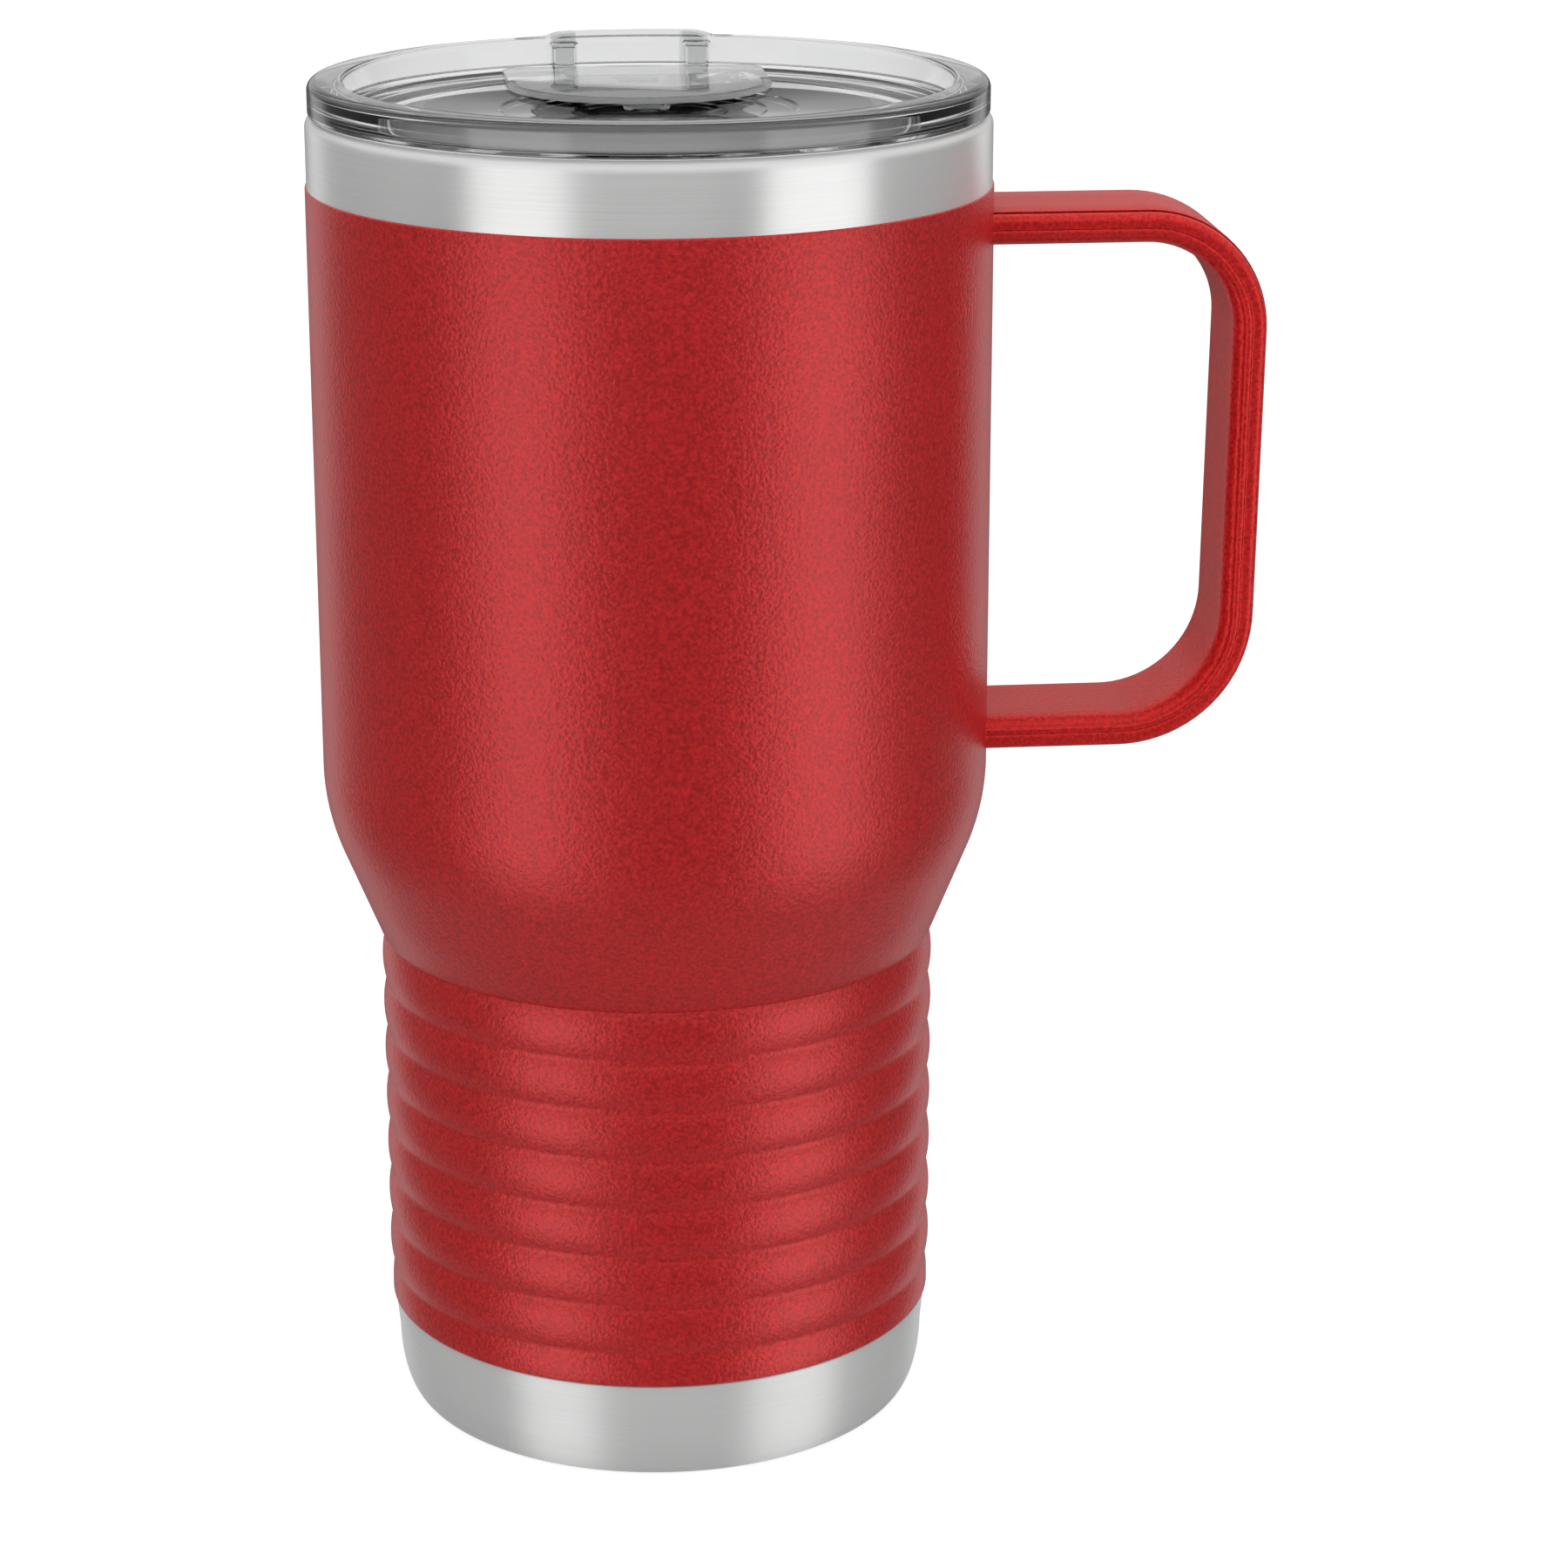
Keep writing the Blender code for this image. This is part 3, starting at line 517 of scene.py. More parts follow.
def dull_metal(name, colour, scale):
    """Rough metal with a grit of its own scale."""
    material, nodes, links, shader = shader_tree(name)
    place = place_node(nodes, links)
    grit = noise_node(nodes, links, place, scale, 3.0, 0.6)
    shade = range_node(nodes, links, grit, 0.0, 1.0)
    darker = tuple(0.75 * c for c in colour)
    links.new(mix_colours(nodes, links, shade, darker, colour), shader.inputs["Base Color"])
    shader.inputs["Metallic"].default_value = 1.0
    links.new(range_node(nodes, links, grit, 0.45, 0.65), shader.inputs["Roughness"])
    links.new(bump_node(nodes, links, grit, 0.05 * MM, 0.5), shader.inputs["Normal"])
    return material


RED = powder_coat("red_powder_coat", painted_light_lift=1.0, edge_tint=(1.0, 1.0, 1.0))
# The handle has the wall's coat, painted lighter: painted light in place of the light that its faces miss.
HANDLE_RED_PAINTED_LIGHTER = powder_coat("handle_powder_coat_painted_lighter", painted_light_lift=1.2, edge_tint=(1.0, 0.50, 0.42))
# The collar's steel carries painted shade inside its bore.
COLLAR_STEEL = brushed_steel("brushed_steel", (0.75, 0.75, 0.745), 0.36, 0.42, bore=(0.22, 0.22, 0.215))
BASE_STEEL = brushed_steel("satin_steel", (0.74, 0.74, 0.735), 0.46, 0.52, grain=0.7)
COVER_STEEL = brushed_steel("spun_steel", (0.78, 0.78, 0.775), 0.38, 0.46, grain=1.4)
CLEAR = clear_plastic("clear_plastic", (0.955, 0.96, 0.96), 0.01, 0.04, posts=True)
SLIDER_CLEAR = clear_plastic("slider_plastic", (0.96, 0.965, 0.965), 0.02, 0.06, grip=True)
SILICONE = silicone()
BEAD = dull_metal("port_bead", (0.20, 0.19, 0.18), scale=1500.0)
GETTER = dull_metal("getter_metal", (0.35, 0.34, 0.32), scale=1800.0)


def dress(piece, body, slot, *nodes):
    """Puts a finished piece on its body in place of its CAD nodes."""
    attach(piece, body)
    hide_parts(*nodes)


# ---------------------------------------------------------------- the mug


def wall_outline():
    """The coated wall: rolled coat edge, rounded shoulder, cone, ribs and plain lower band."""
    edge = COAT_EDGE
    blend = TAPER_BLEND
    outer = arc(BODY_RADIUS - edge, COAT_LINE, edge, edge, 90.0, 0.0, 4)
    # Two rings on the straight wall keep its shading even.
    outer += [(BODY_RADIUS, SHELL_TOP - 30 * MM), (BODY_RADIUS, TAPER_TOP + 20 * MM)]
    outer += arc(BODY_RADIUS - blend, TAPER_TOP, blend, blend, 0.0, -math.degrees(TAPER_ANGLE), 24)
    radius, height = outer[-1]
    for part in (0.5, 0.93):
        fall = (height - TAPER_BOTTOM) * part
        outer.append((radius - fall * math.tan(TAPER_ANGLE), height - fall))
    groove = RIB_CREST - RIB_DEPTH
    for rib in range(RIB_COUNT):
        top = TAPER_BOTTOM - rib * RIB_PITCH
        for i in range(RIB_STEPS):
            share = i / RIB_STEPS
            # The valley between two ribs has a small round bottom.
            rise = math.sqrt((2.0 * share - 1.0) ** 2 + VALLEY_ROUNDING)
            swell = RIB_DEPTH * max(0.0, 1.0 - rise**RIB_BLUNTNESS)
            outer.append((groove + swell, top - share * RIB_PITCH))
    last = TAPER_BOTTOM - RIB_COUNT * RIB_PITCH
    outer.append((groove, last))
    for share in (0.12, 0.3, 0.55, 0.8):
        swell = (BAND_RADIUS - groove) * math.sin(share * math.pi / 2)
        outer.append((groove + swell, last - share * BAND_SHOULDER))
    outer += arc(BAND_RADIUS - edge, BASE_TOP + edge, edge, edge, 0.0, -90.0, 4)
    inner = [(groove - SHEET, BASE_TOP), (groove - SHEET, TAPER_BOTTOM - SHEET)]
    inner += [(BODY_RADIUS - 3.2 * MM, TAPER_TOP - 11.5 * MM), (BODY_RADIUS - SHEET, TAPER_TOP)]
    inner += [(BODY_RADIUS - SHEET, COAT_LINE)]
    return outer + inner


def make_wall():
    wall = lathe("coated_wall", wall_outline(), RED, sharp=50.0)
    dress(wall, "mug", "red_coat", "outer_shell")


def make_vessel():
    """The drinking vessel with its rolled mouth and the bare collar."""
    lip_centre = (COLLAR_RADIUS + MOUTH_RADIUS) / 2
    floor = LINER_FLOOR
    corner = VESSEL_CORNER
    bore = [(0.0, floor - SHEET), (LOWER_BORE * 0.3, floor - 0.5 * MM), (LOWER_BORE * 0.55, floor)]
    bore += arc(LOWER_BORE - corner, floor + corner, corner, corner, -90.0, 0.0, 10)
    bore += [(LOWER_BORE, LOWER_BORE_TOP)]
    bore += [(UPPER_BORE - 1.6 * MM, TAPER_TOP - 9 * MM), (UPPER_BORE - 0.4 * MM, TAPER_TOP - 4 * MM)]
    bore += [(UPPER_BORE, TAPER_TOP + 1 * MM), (UPPER_BORE, UPPER_BORE_TOP)]
    bore += [(UPPER_BORE + 0.3 * MM, UPPER_BORE_TOP + 1.5 * MM), (MOUTH_RADIUS, MOUTH_BOTTOM)]
    lip = arc(lip_centre, RIM_TOP - LIP_RADIUS, LIP_RADIUS, LIP_RADIUS, 180.0, 0.0, 14)
    # The sheet's inner side, hidden in the vacuum space
    under_lip = RIM_TOP - 4.0 * MM
    collar = [(COLLAR_RADIUS, COAT_LINE), (COLLAR_RADIUS - SHEET, COAT_LINE)]
    collar += [(COLLAR_RADIUS - SHEET, under_lip), (lip_centre, RIM_TOP - 2.4 * MM)]
    outside = [(MOUTH_RADIUS + SHEET, under_lip), (MOUTH_RADIUS + SHEET, MOUTH_BOTTOM)]
    outside += [(UPPER_BORE + SHEET, UPPER_BORE_TOP), (UPPER_BORE + SHEET, TAPER_TOP)]
    outside += [(LOWER_BORE + SHEET, LOWER_BORE_TOP)]
    outside += arc(LOWER_BORE - corner, floor + corner, corner + SHEET, corner + SHEET, 0.0, -90.0, 8)
    outline = bore + lip + collar + outside + [(0.0, floor - 2 * SHEET)]
    vessel = lathe("drinking_vessel", outline, COLLAR_STEEL, closed=False)
    dress(vessel, "mug", "bare_steel", "inner_liner")


def make_base():
    """The bare base: satin band, drawn corner, foot ring and recess with its open port."""
    corner_high = 8.4 * MM
    corner_wide = 2.8 * MM
    corner_place = BASE_TOP_RADIUS - 0.5 * MM - corner_wide
    edge = 0.3 * MM
    top = BASE_HIGH.z + 0.2 * MM
    foot = 27.6 * MM
    foot_round = 0.5 * MM
    recess = 25.4 * MM
    recess_top = 1.7 * MM
    port = 1.5 * MM
    outline = arc(BASE_TOP_RADIUS - edge, top - edge, edge, edge, 90.0, 0.0, 3)
    outline += arc(corner_place, corner_high, corner_wide, corner_high, 0.0, -90.0, 18)
    outline += [(foot, 0.0)]
    outline += arc(foot - 0.2 * MM, foot_round, foot_round, foot_round, -90.0, -140.0, 3)
    outline += [(recess, recess_top), (port, recess_top), (port, recess_top + SHEET)]
    outline += [(recess + 0.2 * MM, recess_top + SHEET), (foot - 0.1 * MM, SHEET)]
    outline += arc(corner_place, corner_high, corner_wide - SHEET, corner_high - SHEET, -90.0, 0.0, 8)
    outline += [(BASE_TOP_RADIUS - SHEET, top)]
    base = lathe("bare_base", outline, BASE_STEEL)
    dress(base, "mug", "bare_steel", "outer_bottom")


def make_cover():
    """The disc in the base's recess, with a broad shallow ring turned in it."""
    radius = COVER_HIGH.x
    low, high = COVER_LOW.z, COVER_HIGH.z
    outline = [(0.0, high), (radius - 0.2 * MM, high), (radius, high - 0.2 * MM), (radius, low + 0.3 * MM)]
    outline += [(radius - 0.3 * MM, low)]
    dent = low + 0.12 * MM
    outline += [(22.0 * MM, low), (21.6 * MM, dent), (9.0 * MM, dent), (8.7 * MM, low), (0.0, low)]
    cover = lathe("base_disc", outline, COVER_STEEL, closed=False, sharp=25.0)
    dress(cover, "mug", "cover_steel", "base_cover")


# ---------------------------------------------------------------- the handle

STRAP_WIDTH = STRAP_HIGH.y - STRAP_LOW.y
STRAP_THICK = 4.4 * MM
UPPER_BEND = 13.5 * MM
LOWER_BEND = 15.5 * MM
BEND_STEPS = 20
HANDLE_LEAN = 0.6 * MM
# How far out along the flat face a section's innermost point stands, as a share of its half width
FACE_SHARE = 0.35
SIDE_ROUND = 0.22 * MM


def handle_path():
    """Points and upward-right normals of the strap's middle line, from the upper end to the lower."""
    half = STRAP_THICK / 2
    top = STRAP_HIGH.z - half
    bottom = STRAP_LOW.z + half
    reach = STRAP_HIGH.x - half
    low_reach = reach - HANDLE_LEAN
    start = BODY_RADIUS - 0.25 * MM
    straight = (start, start + 7 * MM, start + 14 * MM)
    line = [(x, top) for x in straight]
    line += arc(reach - UPPER_BEND, top - UPPER_BEND, UPPER_BEND, UPPER_BEND, 90.0, 0.0, BEND_STEPS)
    line += arc(low_reach - LOWER_BEND, bottom + LOWER_BEND, LOWER_BEND, LOWER_BEND, 0.0, -90.0, BEND_STEPS)
    line += [(x, bottom) for x in reversed(straight)]
    stations = []
    for i, (x, z) in enumerate(line):
        before = line[max(0, i - 1)]
        after = line[min(len(line) - 1, i + 1)]
        along = Vector((after[0] - before[0], after[1] - before[1])).normalized()
        stations.append(((x, z), (-along.y, along.x)))
    return stations


def outer_section():
    """Half of the outer stamping's section: a round bead, an undercut crease, and the flat face."""
    half = STRAP_THICK / 2
    edge = STRAP_WIDTH / 2
    bead = 1.10 * MM
    middle = half - bead - 0.25 * MM
    points = arc(edge - SIDE_ROUND, middle, SIDE_ROUND, middle, -78.0, 0.0, 6)
    points += arc(edge - bead, middle, bead, bead, 0.0, 112.0, 12)[1:]
    points += [(edge - 1.70 * MM, half - 0.50 * MM), (edge - 2.05 * MM, half - 0.44 * MM)]
    points += [(edge - 1.72 * MM, half - 0.20 * MM), (edge - 1.68 * MM, half - 0.08 * MM)]
    points += [(edge - 1.85 * MM, half), (edge * FACE_SHARE, half)]
    return points


def inner_section():
    """Half of the inner stamping's section: a bead, then a wide soft shoulder up to its flat face."""
    half = STRAP_THICK / 2
    edge = STRAP_WIDTH / 2
    bead = 0.50 * MM
    across = 2.5 * MM
    deep = 1.5 * MM
    points = arc(edge - SIDE_ROUND, bead, SIDE_ROUND, bead, -78.0, 0.0, 6)
    points += arc(edge - bead, bead, bead, bead, 0.0, 75.0, 7)[1:]
    points += [(edge - 0.62 * MM, 0.93 * MM)]
    points += arc(edge - across - 0.7 * MM, half - deep, across, deep, 12.0, 90.0, 10)
    points += [(edge * FACE_SHARE, half)]
    return points


def strap_loop(side):
    """One stamping's closed section, as (across, outward) points."""
    outer = outer_section() if side > 0 else inner_section()
    edge = STRAP_WIDTH / 2
    back = STRAP_THICK / 2 - SHEET
    inner = [(edge * FACE_SHARE, back), (edge - 2.6 * MM, back), (edge - 1.9 * MM, back - 0.75 * MM)]
    inner += [(edge - 0.9 * MM, 0.55 * MM), (edge - 0.9 * MM, 0.02 * MM)]
    loop = outer + [(-y, z) for y, z in reversed(outer)]
    loop += [(-y, z) for y, z in inner] + list(reversed(inner))
    return [(y, side * z) for y, z in loop]


def make_strap(name, side, node):
    """One stamping of the handle: the outer one on side 1, the inner one on side -1."""
    stations = handle_path()
    loop = strap_loop(side)
    shape = bmesh.new()
    rings = []
    for number, ((x, z), (nx, nz)) in enumerate(stations):
        ring = []
        for y, depth in loop:
            place = Vector((x + nx * depth, y, z + nz * depth))
            if number in (0, len(stations) - 1):
                # The ends are shaped to the wall that they are welded to.
                place.x = math.sqrt((BODY_RADIUS - 0.2 * MM) ** 2 - y * y)
            ring.append(shape.verts.new(place))
        rings.append(ring)
    skin(shape, rings)
    bmesh.ops.triangulate(shape, faces=[f for f in shape.faces if len(f.verts) > 4])
    bmesh.ops.recalc_face_normals(shape, faces=shape.faces)
    strap = new_piece(name, shape, HANDLE_RED_PAINTED_LIGHTER, 40.0)
    dress(strap, "mug", "red_coat", node)


# ---------------------------------------------------------------- the lid


def lid_outline():
    """The lid's outside, from the top of its ring down the plug and in under its floor."""
    ring_bottom = RIM_TOP + 0.15 * MM
    ring_round = 1.2 * MM
    low_round = 0.4 * MM
    neck = PLUG_RADIUS + 0.5 * MM
    neck_round = 0.5 * MM
    groove_top = GASKET_HIGH.z + 0.3 * MM
    groove_low = GASKET_LOW.z - 0.3 * MM
    tip_round = 0.6 * MM
    bore_round = 0.8 * MM
    outline = arc(FLANGE_RADIUS - ring_round, FLANGE_TOP - ring_round, ring_round, ring_round, 90.0, 0.0, 8)
    outline += arc(FLANGE_RADIUS - low_round, ring_bottom + low_round, low_round, low_round, 0.0, -90.0, 4)
    outline += [(neck, ring_bottom)]
    outline += arc(neck, ring_bottom - neck_round, neck_round, neck_round, 90.0, 180.0, 4)[1:]
    outline += [(PLUG_RADIUS, groove_top), (SEAT_RADIUS, groove_top), (SEAT_RADIUS, groove_low)]
    outline += [(PLUG_RADIUS, groove_low)]
    outline += arc(PLUG_RADIUS - tip_round, PLUG_BOTTOM + tip_round, tip_round, tip_round, 0.0, -90.0, 4)
    outline += [(PLUG_BORE + 0.2 * MM, PLUG_BOTTOM), (PLUG_BORE, PLUG_BOTTOM + 0.2 * MM)]
    outline += arc(PLUG_BORE - bore_round, FLOOR_BOTTOM - bore_round, bore_round, bore_round, 0.0, 90.0, 4)
    return outline + [(0.0, FLOOR_BOTTOM)]


def dish_outline():
    """The lid's upper side, from its axis out over the floor's round steps and up inside the ring."""
    foot_round = 0.6 * MM
    top_round = 0.8 * MM
    dish = [(0.0, FLOOR_TOP - DISH_STEPS[0][1])]
    for radius, deep, shallow in DISH_STEPS:
        inside = FLOOR_TOP - deep
        outside = FLOOR_TOP - shallow
        dish += [(radius - 0.5 * MM, inside), (radius - 0.3 * MM, inside + STEP_ROUND)]
        dish += [(radius - 0.1 * MM, outside - STEP_ROUND), (radius + 0.1 * MM, outside)]
    dish += arc(RING_INNER_LOW - foot_round, FLOOR_TOP + foot_round, foot_round, foot_round, -90.0, 0.0, 4)
    dish += arc(RING_INNER_TOP + top_round, FLANGE_TOP - top_round, top_round, top_round, 180.0, 95.0, 6)
    return dish


def make_lid():
    """The clear lid, with its spout, posts, stepped floor, drinking hole, slot and vent."""
    lid = lathe("clear_lid", dish_outline() + lid_outline(), CLEAR, closed=False, sharp=28.0)
    combine(lid, [make_spout(), make_post(-1.0), make_post(1.0)], "UNION")
    low = FLOOR_BOTTOM - 2 * MM
    high = FLOOR_TOP + 1 * MM
    sip = block("sip_cut", (-SIP_HALF_WIDTH, SIP_NEAR, low), (SIP_HALF_WIDTH, SIP_FAR, high))
    slot_side = STEM_HALF_WIDTH + SLOT_MARGIN
    slot_near = STEM_NEAR - SLIDER_TRAVEL - SLOT_MARGIN
    slot = block("slot_cut", (-slot_side, slot_near, low), (slot_side, STEM_FAR + SLOT_MARGIN, high))
    vent_outline = [(0.0, high), (VENT_RADIUS, high), (VENT_RADIUS, low), (0.0, low)]
    vent = lathe("vent_cut", vent_outline, None, 32, closed=False, sharp=30.0, centre=VENT_PLACE)
    combine(lid, [sip, slot, vent], "DIFFERENCE")
    dress(lid, "lid", "clear_plastic", "lid_body")


def make_post(side):
    """A round post against the ring's inner wall, with a flared foot and head."""
    x = side * POST_PLACE
    # It stands as far from the axis as the ring's wall is at that place, and half in it.
    y = math.sqrt(RING_INNER_LOW**2 - x**2) - 0.5 * MM
    radius = POST_RADIUS
    head = POST_RADIUS + 0.4 * MM
    high = FLANGE_TOP - 0.3 * MM
    foot = FLOOR_TOP
    low = FLOOR_TOP - 0.5 * MM
    outline = [(0.0, high), (head - 0.15 * MM, high), (head, high - 0.15 * MM)]
    outline += [(radius + 0.1 * MM, high - 0.6 * MM), (radius, high - 1.0 * MM), (radius, foot + 0.8 * MM)]
    outline += [(radius + 0.12 * MM, foot + 0.35 * MM), (head, foot), (head, low), (0.0, low)]
    name = "post_right" if side > 0 else "post_left"
    return lathe(name, outline, None, 24, closed=False, sharp=40.0, centre=(x, y))


def make_spout():
    """The raised drinking edge, a low swelling on the ring with sloping ends."""
    inner = RING_INNER_TOP + 0.55 * MM
    outer = FLANGE_RADIUS - 0.85 * MM
    start = FLANGE_TOP - 0.05 * MM
    rise = LID_HIGH.z - start
    low = FLANGE_TOP - 1.0 * MM
    flat_angle = math.asin(SPOUT_HALF_WIDTH / FLANGE_RADIUS)
    half_angle = math.asin((SPOUT_HALF_WIDTH + SPOUT_SLOPE) / FLANGE_RADIUS)
    shape = bmesh.new()
    rings = []
    for i in range(SPOUT_STEPS + 1):
        angle = half_angle * (1.0 - 2.0 * i / SPOUT_STEPS)
        beyond = max(0.0, (abs(angle) - flat_angle) / (half_angle - flat_angle))
        height = start + rise * 0.5 * (1.0 + math.cos(math.pi * beyond))
        section = [(inner, low), (inner, height - 0.3 * MM), (inner + 0.35 * MM, height)]
        section += [((inner + outer) / 2, height), (outer - 0.45 * MM, height), (outer, height - 0.35 * MM)]
        section += [(outer, low)]
        rings.append([shape.verts.new((r * math.sin(angle), r * math.cos(angle), z)) for r, z in section])
    skin(shape, rings)
    bmesh.ops.recalc_face_normals(shape, faces=shape.faces)
    return new_piece("spout", shape)


def make_gasket():
    """The silicone ring in the plug's groove, with two round lips."""
    top, low = GASKET_HIGH.z, GASKET_LOW.z
    middle = (top + low) / 2
    body = PLUG_RADIUS + 0.1 * MM
    inner = SEAT_RADIUS + 0.3 * MM
    lip_wide = 0.3 * MM
    lip_high = 0.25 * MM
    lip_place = GASKET_HIGH.x - lip_wide
    chamfer = 0.2 * MM
    outline = [(inner + chamfer, top), (body, top)]
    outline += arc(lip_place, top - 0.75 * MM, lip_wide, lip_high, 80.0, -80.0, 6)
    outline += [(body, middle + 0.2 * MM), (body, middle - 0.1 * MM)]
    outline += arc(lip_place, middle - 1.05 * MM, lip_wide, lip_high, 80.0, -80.0, 6)
    outline += [(body, low), (inner + chamfer, low), (inner, low + chamfer), (inner, top - chamfer)]
    ring = lathe("gasket_ring", outline, SILICONE)
    dress(ring, "lid", "silicone", "lid_gasket")


# ---------------------------------------------------------------- the slider


def scalloped_front(inset):
    """The slider's half-round front from its left end to its right, with evenly spaced hollows."""
    points = []
    centre_y = SLIDER_NEAR + SLIDER_HALF_WIDTH
    for i in range(FRONT_STEPS + 1):
        angle = math.radians(-180.0 + 180.0 * i / FRONT_STEPS)
        # The hollows fade out towards the straight sides.
        fade = max(0.0, math.sin(-angle)) ** 0.5
        hollow = 0.5 * (1.0 + math.cos(SCALLOP_COUNT * angle))
        radius = SLIDER_HALF_WIDTH - inset - SCALLOP * hollow * fade
        points.append((radius * math.cos(angle), centre_y + radius * math.sin(angle)))
    return points


def slider_outline():
    """A D with a scalloped half-round front; anticlockwise."""
    half = SLIDER_HALF_WIDTH
    far = SLIDER_HIGH.y
    points = scalloped_front(0.0)
    points += [(half, far - 2.0 * MM), (half - 0.6 * MM, far - 0.6 * MM), (half - 2.0 * MM, far)]
    points += [(-half + 2.0 * MM, far), (-half + 0.6 * MM, far - 0.6 * MM), (-half, far - 2.0 * MM)]
    return points


def make_slider():
    """The thin scalloped plate with its grip rim and stem, cut away over the seal pad."""
    plate = prism("slider_plate", slider_outline(), PLATE_LOW, PLATE_HIGH, SLIDER_CLEAR)
    round_edges(plate, 0.15 * MM, 2, 50.0)
    stem_low = (-STEM_HALF_WIDTH, STEM_NEAR, SLIDER_LOW.z)
    stem = block("stem", stem_low, (STEM_HALF_WIDTH, STEM_FAR, PLATE_LOW + 0.5 * MM))
    rim_outline = scalloped_front(0.2 * MM) + list(reversed(scalloped_front(GRIP_WIDTH)))
    rim = prism("rim", rim_outline, PLATE_HIGH - 0.3 * MM, PLATE_HIGH + 0.15 * MM)
    round_edges(rim, 0.12 * MM, 2, 50.0)
    combine(plate, [stem, rim], "UNION")
    margin = 0.1 * MM
    pocket = block(
        "pocket",
        (SEAL_LOW.x - margin, SEAL_LOW.y - margin, PLATE_LOW - 1 * MM),
        (SEAL_HIGH.x + margin, SEAL_HIGH.y + margin, PAD_HIGH + margin),
    )
    combine(plate, [pocket], "DIFFERENCE")
    dress(plate, "closure", "slider_plastic", "slider")


def make_slider_parts():
    """The seal pad under the slider's plate, and the clip on its stem."""
    seal_low = (SEAL_LOW.x, SEAL_LOW.y, PLATE_LOW)
    seal = block("seal_pad", seal_low, (SEAL_HIGH.x, SEAL_HIGH.y, PAD_HIGH), SILICONE)
    round_edges(seal, 0.1 * MM, 3)
    dress(seal, "closure", "silicone", "slider_seal")

    clip = block("stem_clip", CLIP_LOW, CLIP_HIGH, SLIDER_CLEAR)
    round_edges(clip, 0.35 * MM, 3)
    hole_side = STEM_HALF_WIDTH + CLIP_MARGIN
    hole_low = (-hole_side, STEM_NEAR - CLIP_MARGIN, CLIP_LOW.z - MM)
    hole = block("clip_hole", hole_low, (hole_side, STEM_FAR + CLIP_MARGIN, CLIP_HIGH.z + MM))
    combine(clip, [hole], "DIFFERENCE")
    dress(clip, "closure", "retainer_plastic", "slider_retainer")


# ---------------------------------------------------------------- studio


def turned_view(angle):
    """Unit vectors to the right of, and ahead of, a viewer turned round the mug."""
    right = Vector((math.cos(angle), -math.sin(angle), 0.0))
    ahead = Vector((math.sin(angle), math.cos(angle), 0.0))
    return right, ahead


def make_camera():
    """The photo's viewpoint, tipped down and turned a little to the handle's side."""
    right, ahead = turned_view(CAMERA_TURN)
    data = bpy.data.cameras.new("camera")
    data.lens = CAMERA_LENS
    data.clip_start = 0.01
    data.clip_end = 50.0
    camera = bpy.data.objects.new("camera", data)
    camera.location = Vector((0.0, 0.0, CAMERA_HEIGHT)) - ahead * CAMERA_DISTANCE
    level = ahead * math.cos(CAMERA_PAN) + right * math.sin(CAMERA_PAN)
    aim = level * math.cos(CAMERA_PITCH) - Vector((0.0, 0.0, math.sin(CAMERA_PITCH)))
    camera.rotation_mode = "QUATERNION"
    camera.rotation_quaternion = aim.to_track_quat("-Z", "Y")
    bpy.context.scene.collection.objects.link(camera)
    bpy.context.scene.camera = camera


# Radiance of the studio's walls against the bearing round the mug, in degrees: 0 is the camera's side
# and positive is to its right.
WALL_BANDS = (
    (-180.0, 0.14), (-160.0, 0.16), (-151.0, 0.90), (-142.0, 0.90), (-134.0, 0.26), (-82.0, 0.26),
    (-76.0, 0.08), (-64.0, 0.08), (-60.0, 2.10), (-30.0, 2.10), (-24.0, 0.24), (21.0, 0.24), (24.0, 0.03),
    (36.0, 0.03), (41.0, 2.10), (76.0, 2.10), (80.0, 0.20), (134.0, 0.20), (142.0, 0.90), (151.0, 0.90),
    (160.0, 0.16), (180.0, 0.14),
)
# A ramp's colours stop at 1, so each radiance is kept in it as a share of this.
BAND_PEAK = 4.0
WALLS_ABOVE = 0.45
CEILING = 1.15
TABLE = 0.45
BACKDROP_LOW = 0.68
BACKDROP_HIGH = 0.40
EVEN = 0.62
EVEN_SHARE = 0.6
PLAIN_WHITE = 1.05
FLOOR_GLOW = 0.75
FLOOR_GLOW_THROUGH_LID = 0.36
FLOOR_SIZE = 12.0


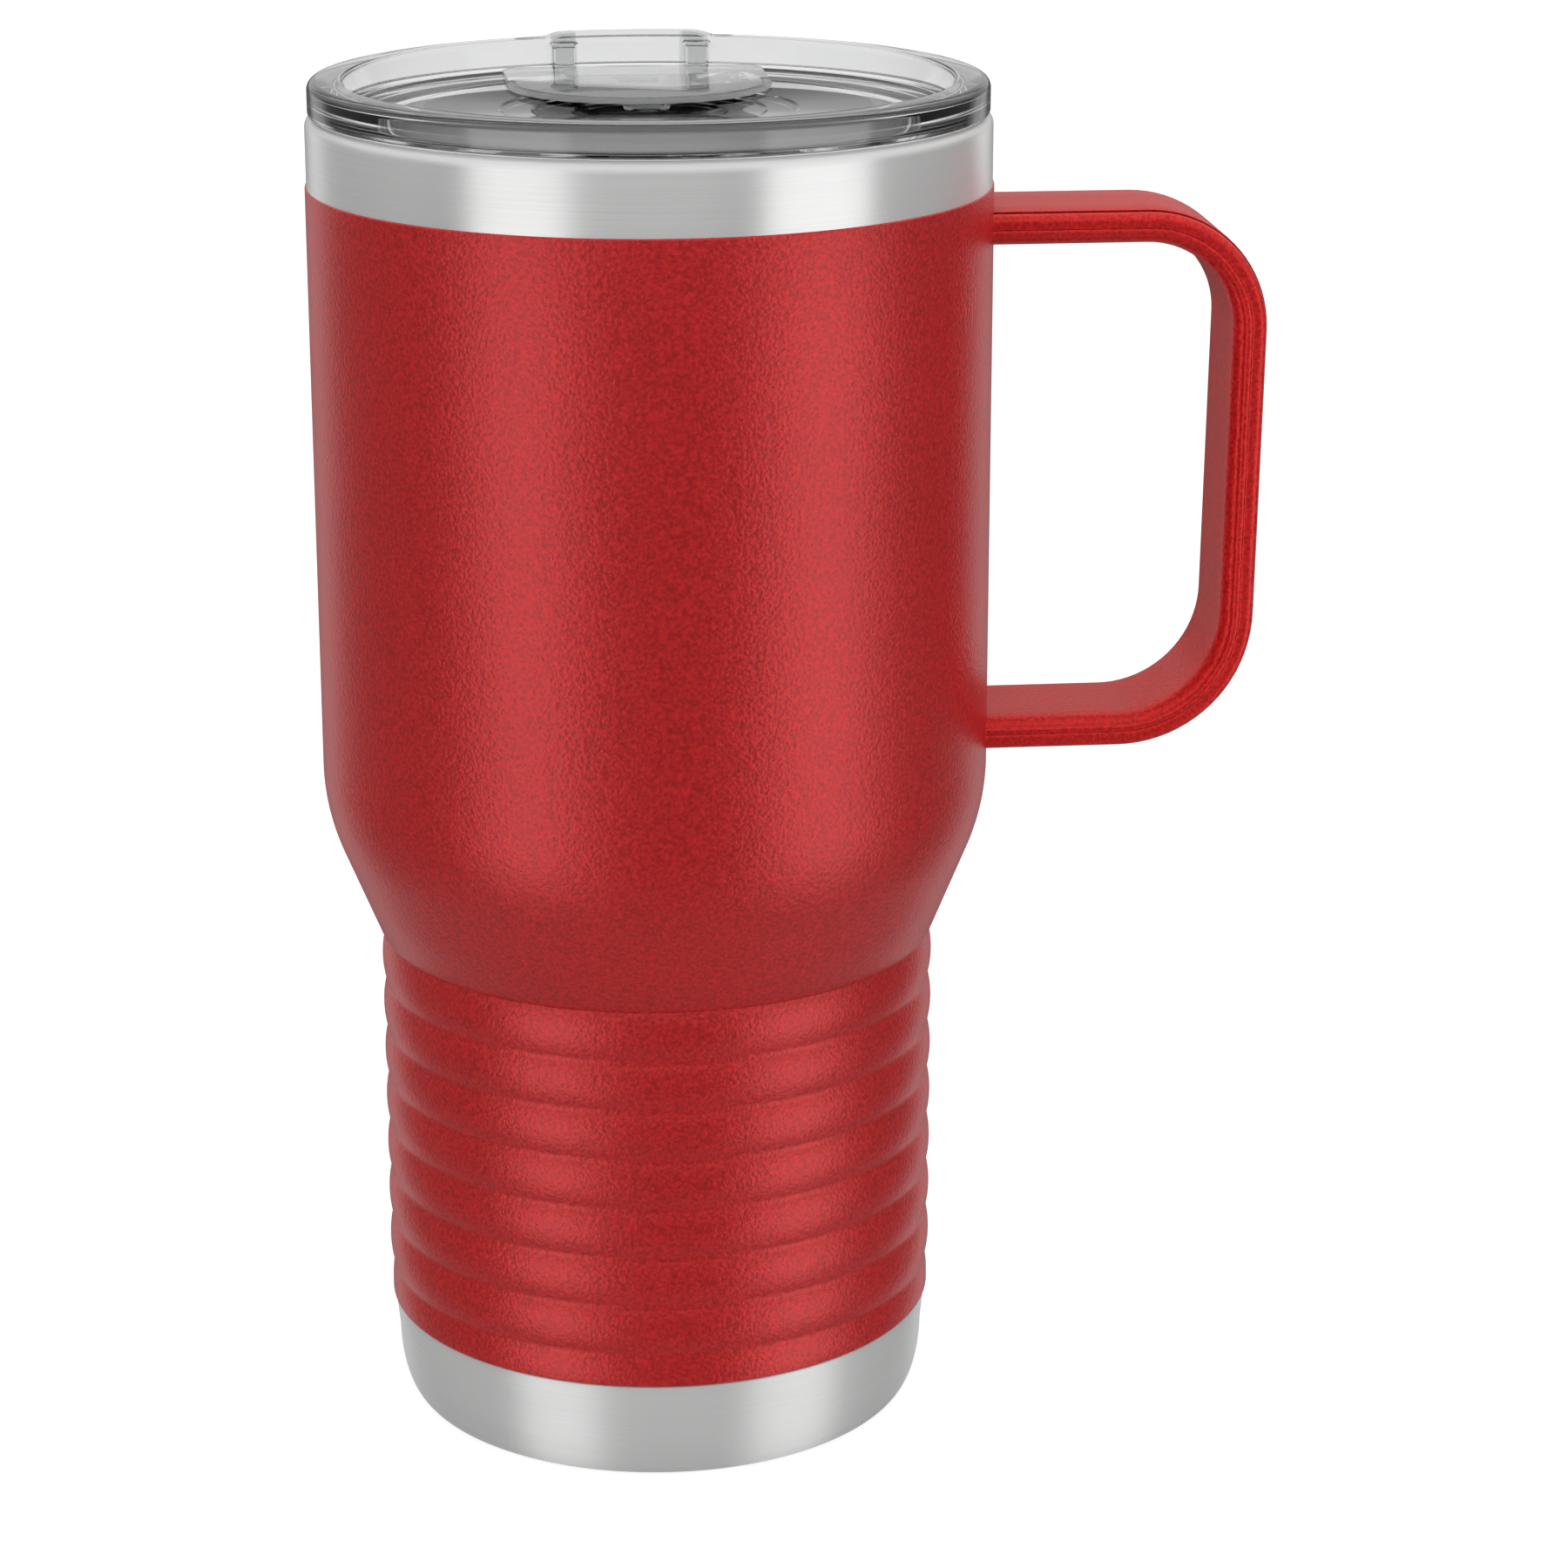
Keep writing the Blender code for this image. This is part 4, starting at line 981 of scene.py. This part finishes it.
def make_sky():
    """Soft studio walls with upright softboxes and dark gaps, a ceiling, a table and a white backdrop.

    Heights and nearness are those of a direction's unit vector.
    """
    right, ahead = turned_view(CAMERA_TURN)
    world = bpy.data.worlds.new("studio")
    world.use_nodes = True
    bpy.context.scene.world = world
    nodes = world.node_tree.nodes
    links = world.node_tree.links
    where = nodes.new("ShaderNodeTexCoord").outputs["Generated"]
    parts = []
    for axis in (right, -ahead, Vector((0.0, 0.0, 1.0))):
        dot = nodes.new("ShaderNodeVectorMath")
        dot.operation = "DOT_PRODUCT"
        links.new(where, dot.inputs[0])
        dot.inputs[1].default_value = axis
        parts.append(dot.outputs["Value"])
    aside, near, height = parts
    bearing = math_node(nodes, links, "ARCTAN2", aside, near)
    share = range_node(nodes, links, bearing, 0.0, 1.0, -math.pi, math.pi)
    ramp = nodes.new("ShaderNodeValToRGB")
    stops = ramp.color_ramp.elements
    for angle, radiance in WALL_BANDS:
        position = (angle + 180.0) / 360.0
        if position == 0.0:
            stop = stops[0]
        elif position == 1.0:
            stop = stops[-1]
        else:
            stop = stops.new(position)
        stop.color = (*[radiance / BAND_PEAK] * 3, 1.0)
    links.new(share, ramp.inputs["Fac"])
    walls = math_node(nodes, links, "MULTIPLY", ramp.outputs["Color"], BAND_PEAK)
    # The walls are dimmer above the mug's level, and give way to the ceiling and the table.
    above = range_node(nodes, links, height, 1.0, WALLS_ABOVE, 0.0, 0.12)
    walls = math_node(nodes, links, "MULTIPLY", walls, above)
    down = range_node(nodes, links, height, 0.0, 1.0, -0.45, -0.75)
    up = range_node(nodes, links, height, 0.0, 1.0, 0.10, 0.42)
    strength = mix_values(nodes, links, down, walls, TABLE)
    strength = mix_values(nodes, links, up, strength, CEILING)
    # A white backdrop stands behind the mug, above the table's level.
    behind = range_node(nodes, links, near, 0.0, 1.0, -0.80, -0.93)
    risen = range_node(nodes, links, height, 0.0, 1.0, 0.0, 0.05)
    screen = math_node(nodes, links, "MULTIPLY", behind, risen)
    backdrop = range_node(nodes, links, height, BACKDROP_LOW, BACKDROP_HIGH, 0.18, 0.28)
    strength = mix_values(nodes, links, screen, strength, backdrop)
    # The studio's walls light the mug, and look evener through its clear lid. A camera that sees
    # past the floor sees plain white.
    path = nodes.new("ShaderNodeLightPath")
    through = math_node(nodes, links, "MULTIPLY", path.outputs["Is Transmission Ray"], EVEN_SHARE)
    even = mix_values(nodes, links, through, strength, EVEN)
    shown = mix_values(nodes, links, path.outputs["Is Camera Ray"], even, PLAIN_WHITE)
    nodes["Background"].inputs["Color"].default_value = (1.0, 1.0, 1.0, 1.0)
    links.new(shown, nodes["Background"].inputs["Strength"])


def make_floor():
    """A pale sheet that glows by itself, so that the mug's light and shadow leave it even."""
    material, nodes, links, shader = shader_tree("floor_paper")
    fibre = noise_node(nodes, links, place_node(nodes, links), 300.0, 2.0)
    colour = mix_colours(nodes, links, fibre, (0.38, 0.38, 0.38), (0.40, 0.40, 0.40))
    links.new(colour, shader.inputs["Base Color"])
    shader.inputs["Roughness"].default_value = 0.9
    shader.inputs["Specular IOR Level"].default_value = 0.0
    shader.inputs["Emission Color"].default_value = (1.0, 1.0, 1.0, 1.0)
    # The table seen through the clear lid is its shaded side, which is darker.
    through = nodes.new("ShaderNodeLightPath").outputs["Is Transmission Ray"]
    glow = range_node(nodes, links, through, FLOOR_GLOW, FLOOR_GLOW_THROUGH_LID, 0.0, 1.0)
    links.new(glow, shader.inputs["Emission Strength"])
    shape = bmesh.new()
    bmesh.ops.create_grid(shape, x_segments=1, y_segments=1, size=FLOOR_SIZE)
    floor = new_piece("floor", shape, material)
    # The studio below the floor's level lights the mug, as it does round a small table.
    floor.visible_diffuse = False
    floor.visible_glossy = False
    floor.visible_shadow = False


def make_studio():
    """The light, the floor and a plain colour transform."""
    scene = bpy.context.scene
    scene.view_settings.view_transform = "Standard"
    scene.view_settings.look = "None"
    make_sky()
    make_floor()


make_camera()
make_studio()
make_wall()
make_vessel()
make_base()
make_cover()
make_strap("handle_outer", 1.0, "handle_outer_strap")
make_strap("handle_inner", -1.0, "handle_inner_strap")
make_lid()
make_gasket()
make_slider()
make_slider_parts()
# These two keep their CAD shape.
for node, material in (("port_seal", BEAD), ("getter", GETTER)):
    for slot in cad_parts[node].material_slots:
        slot.material = material
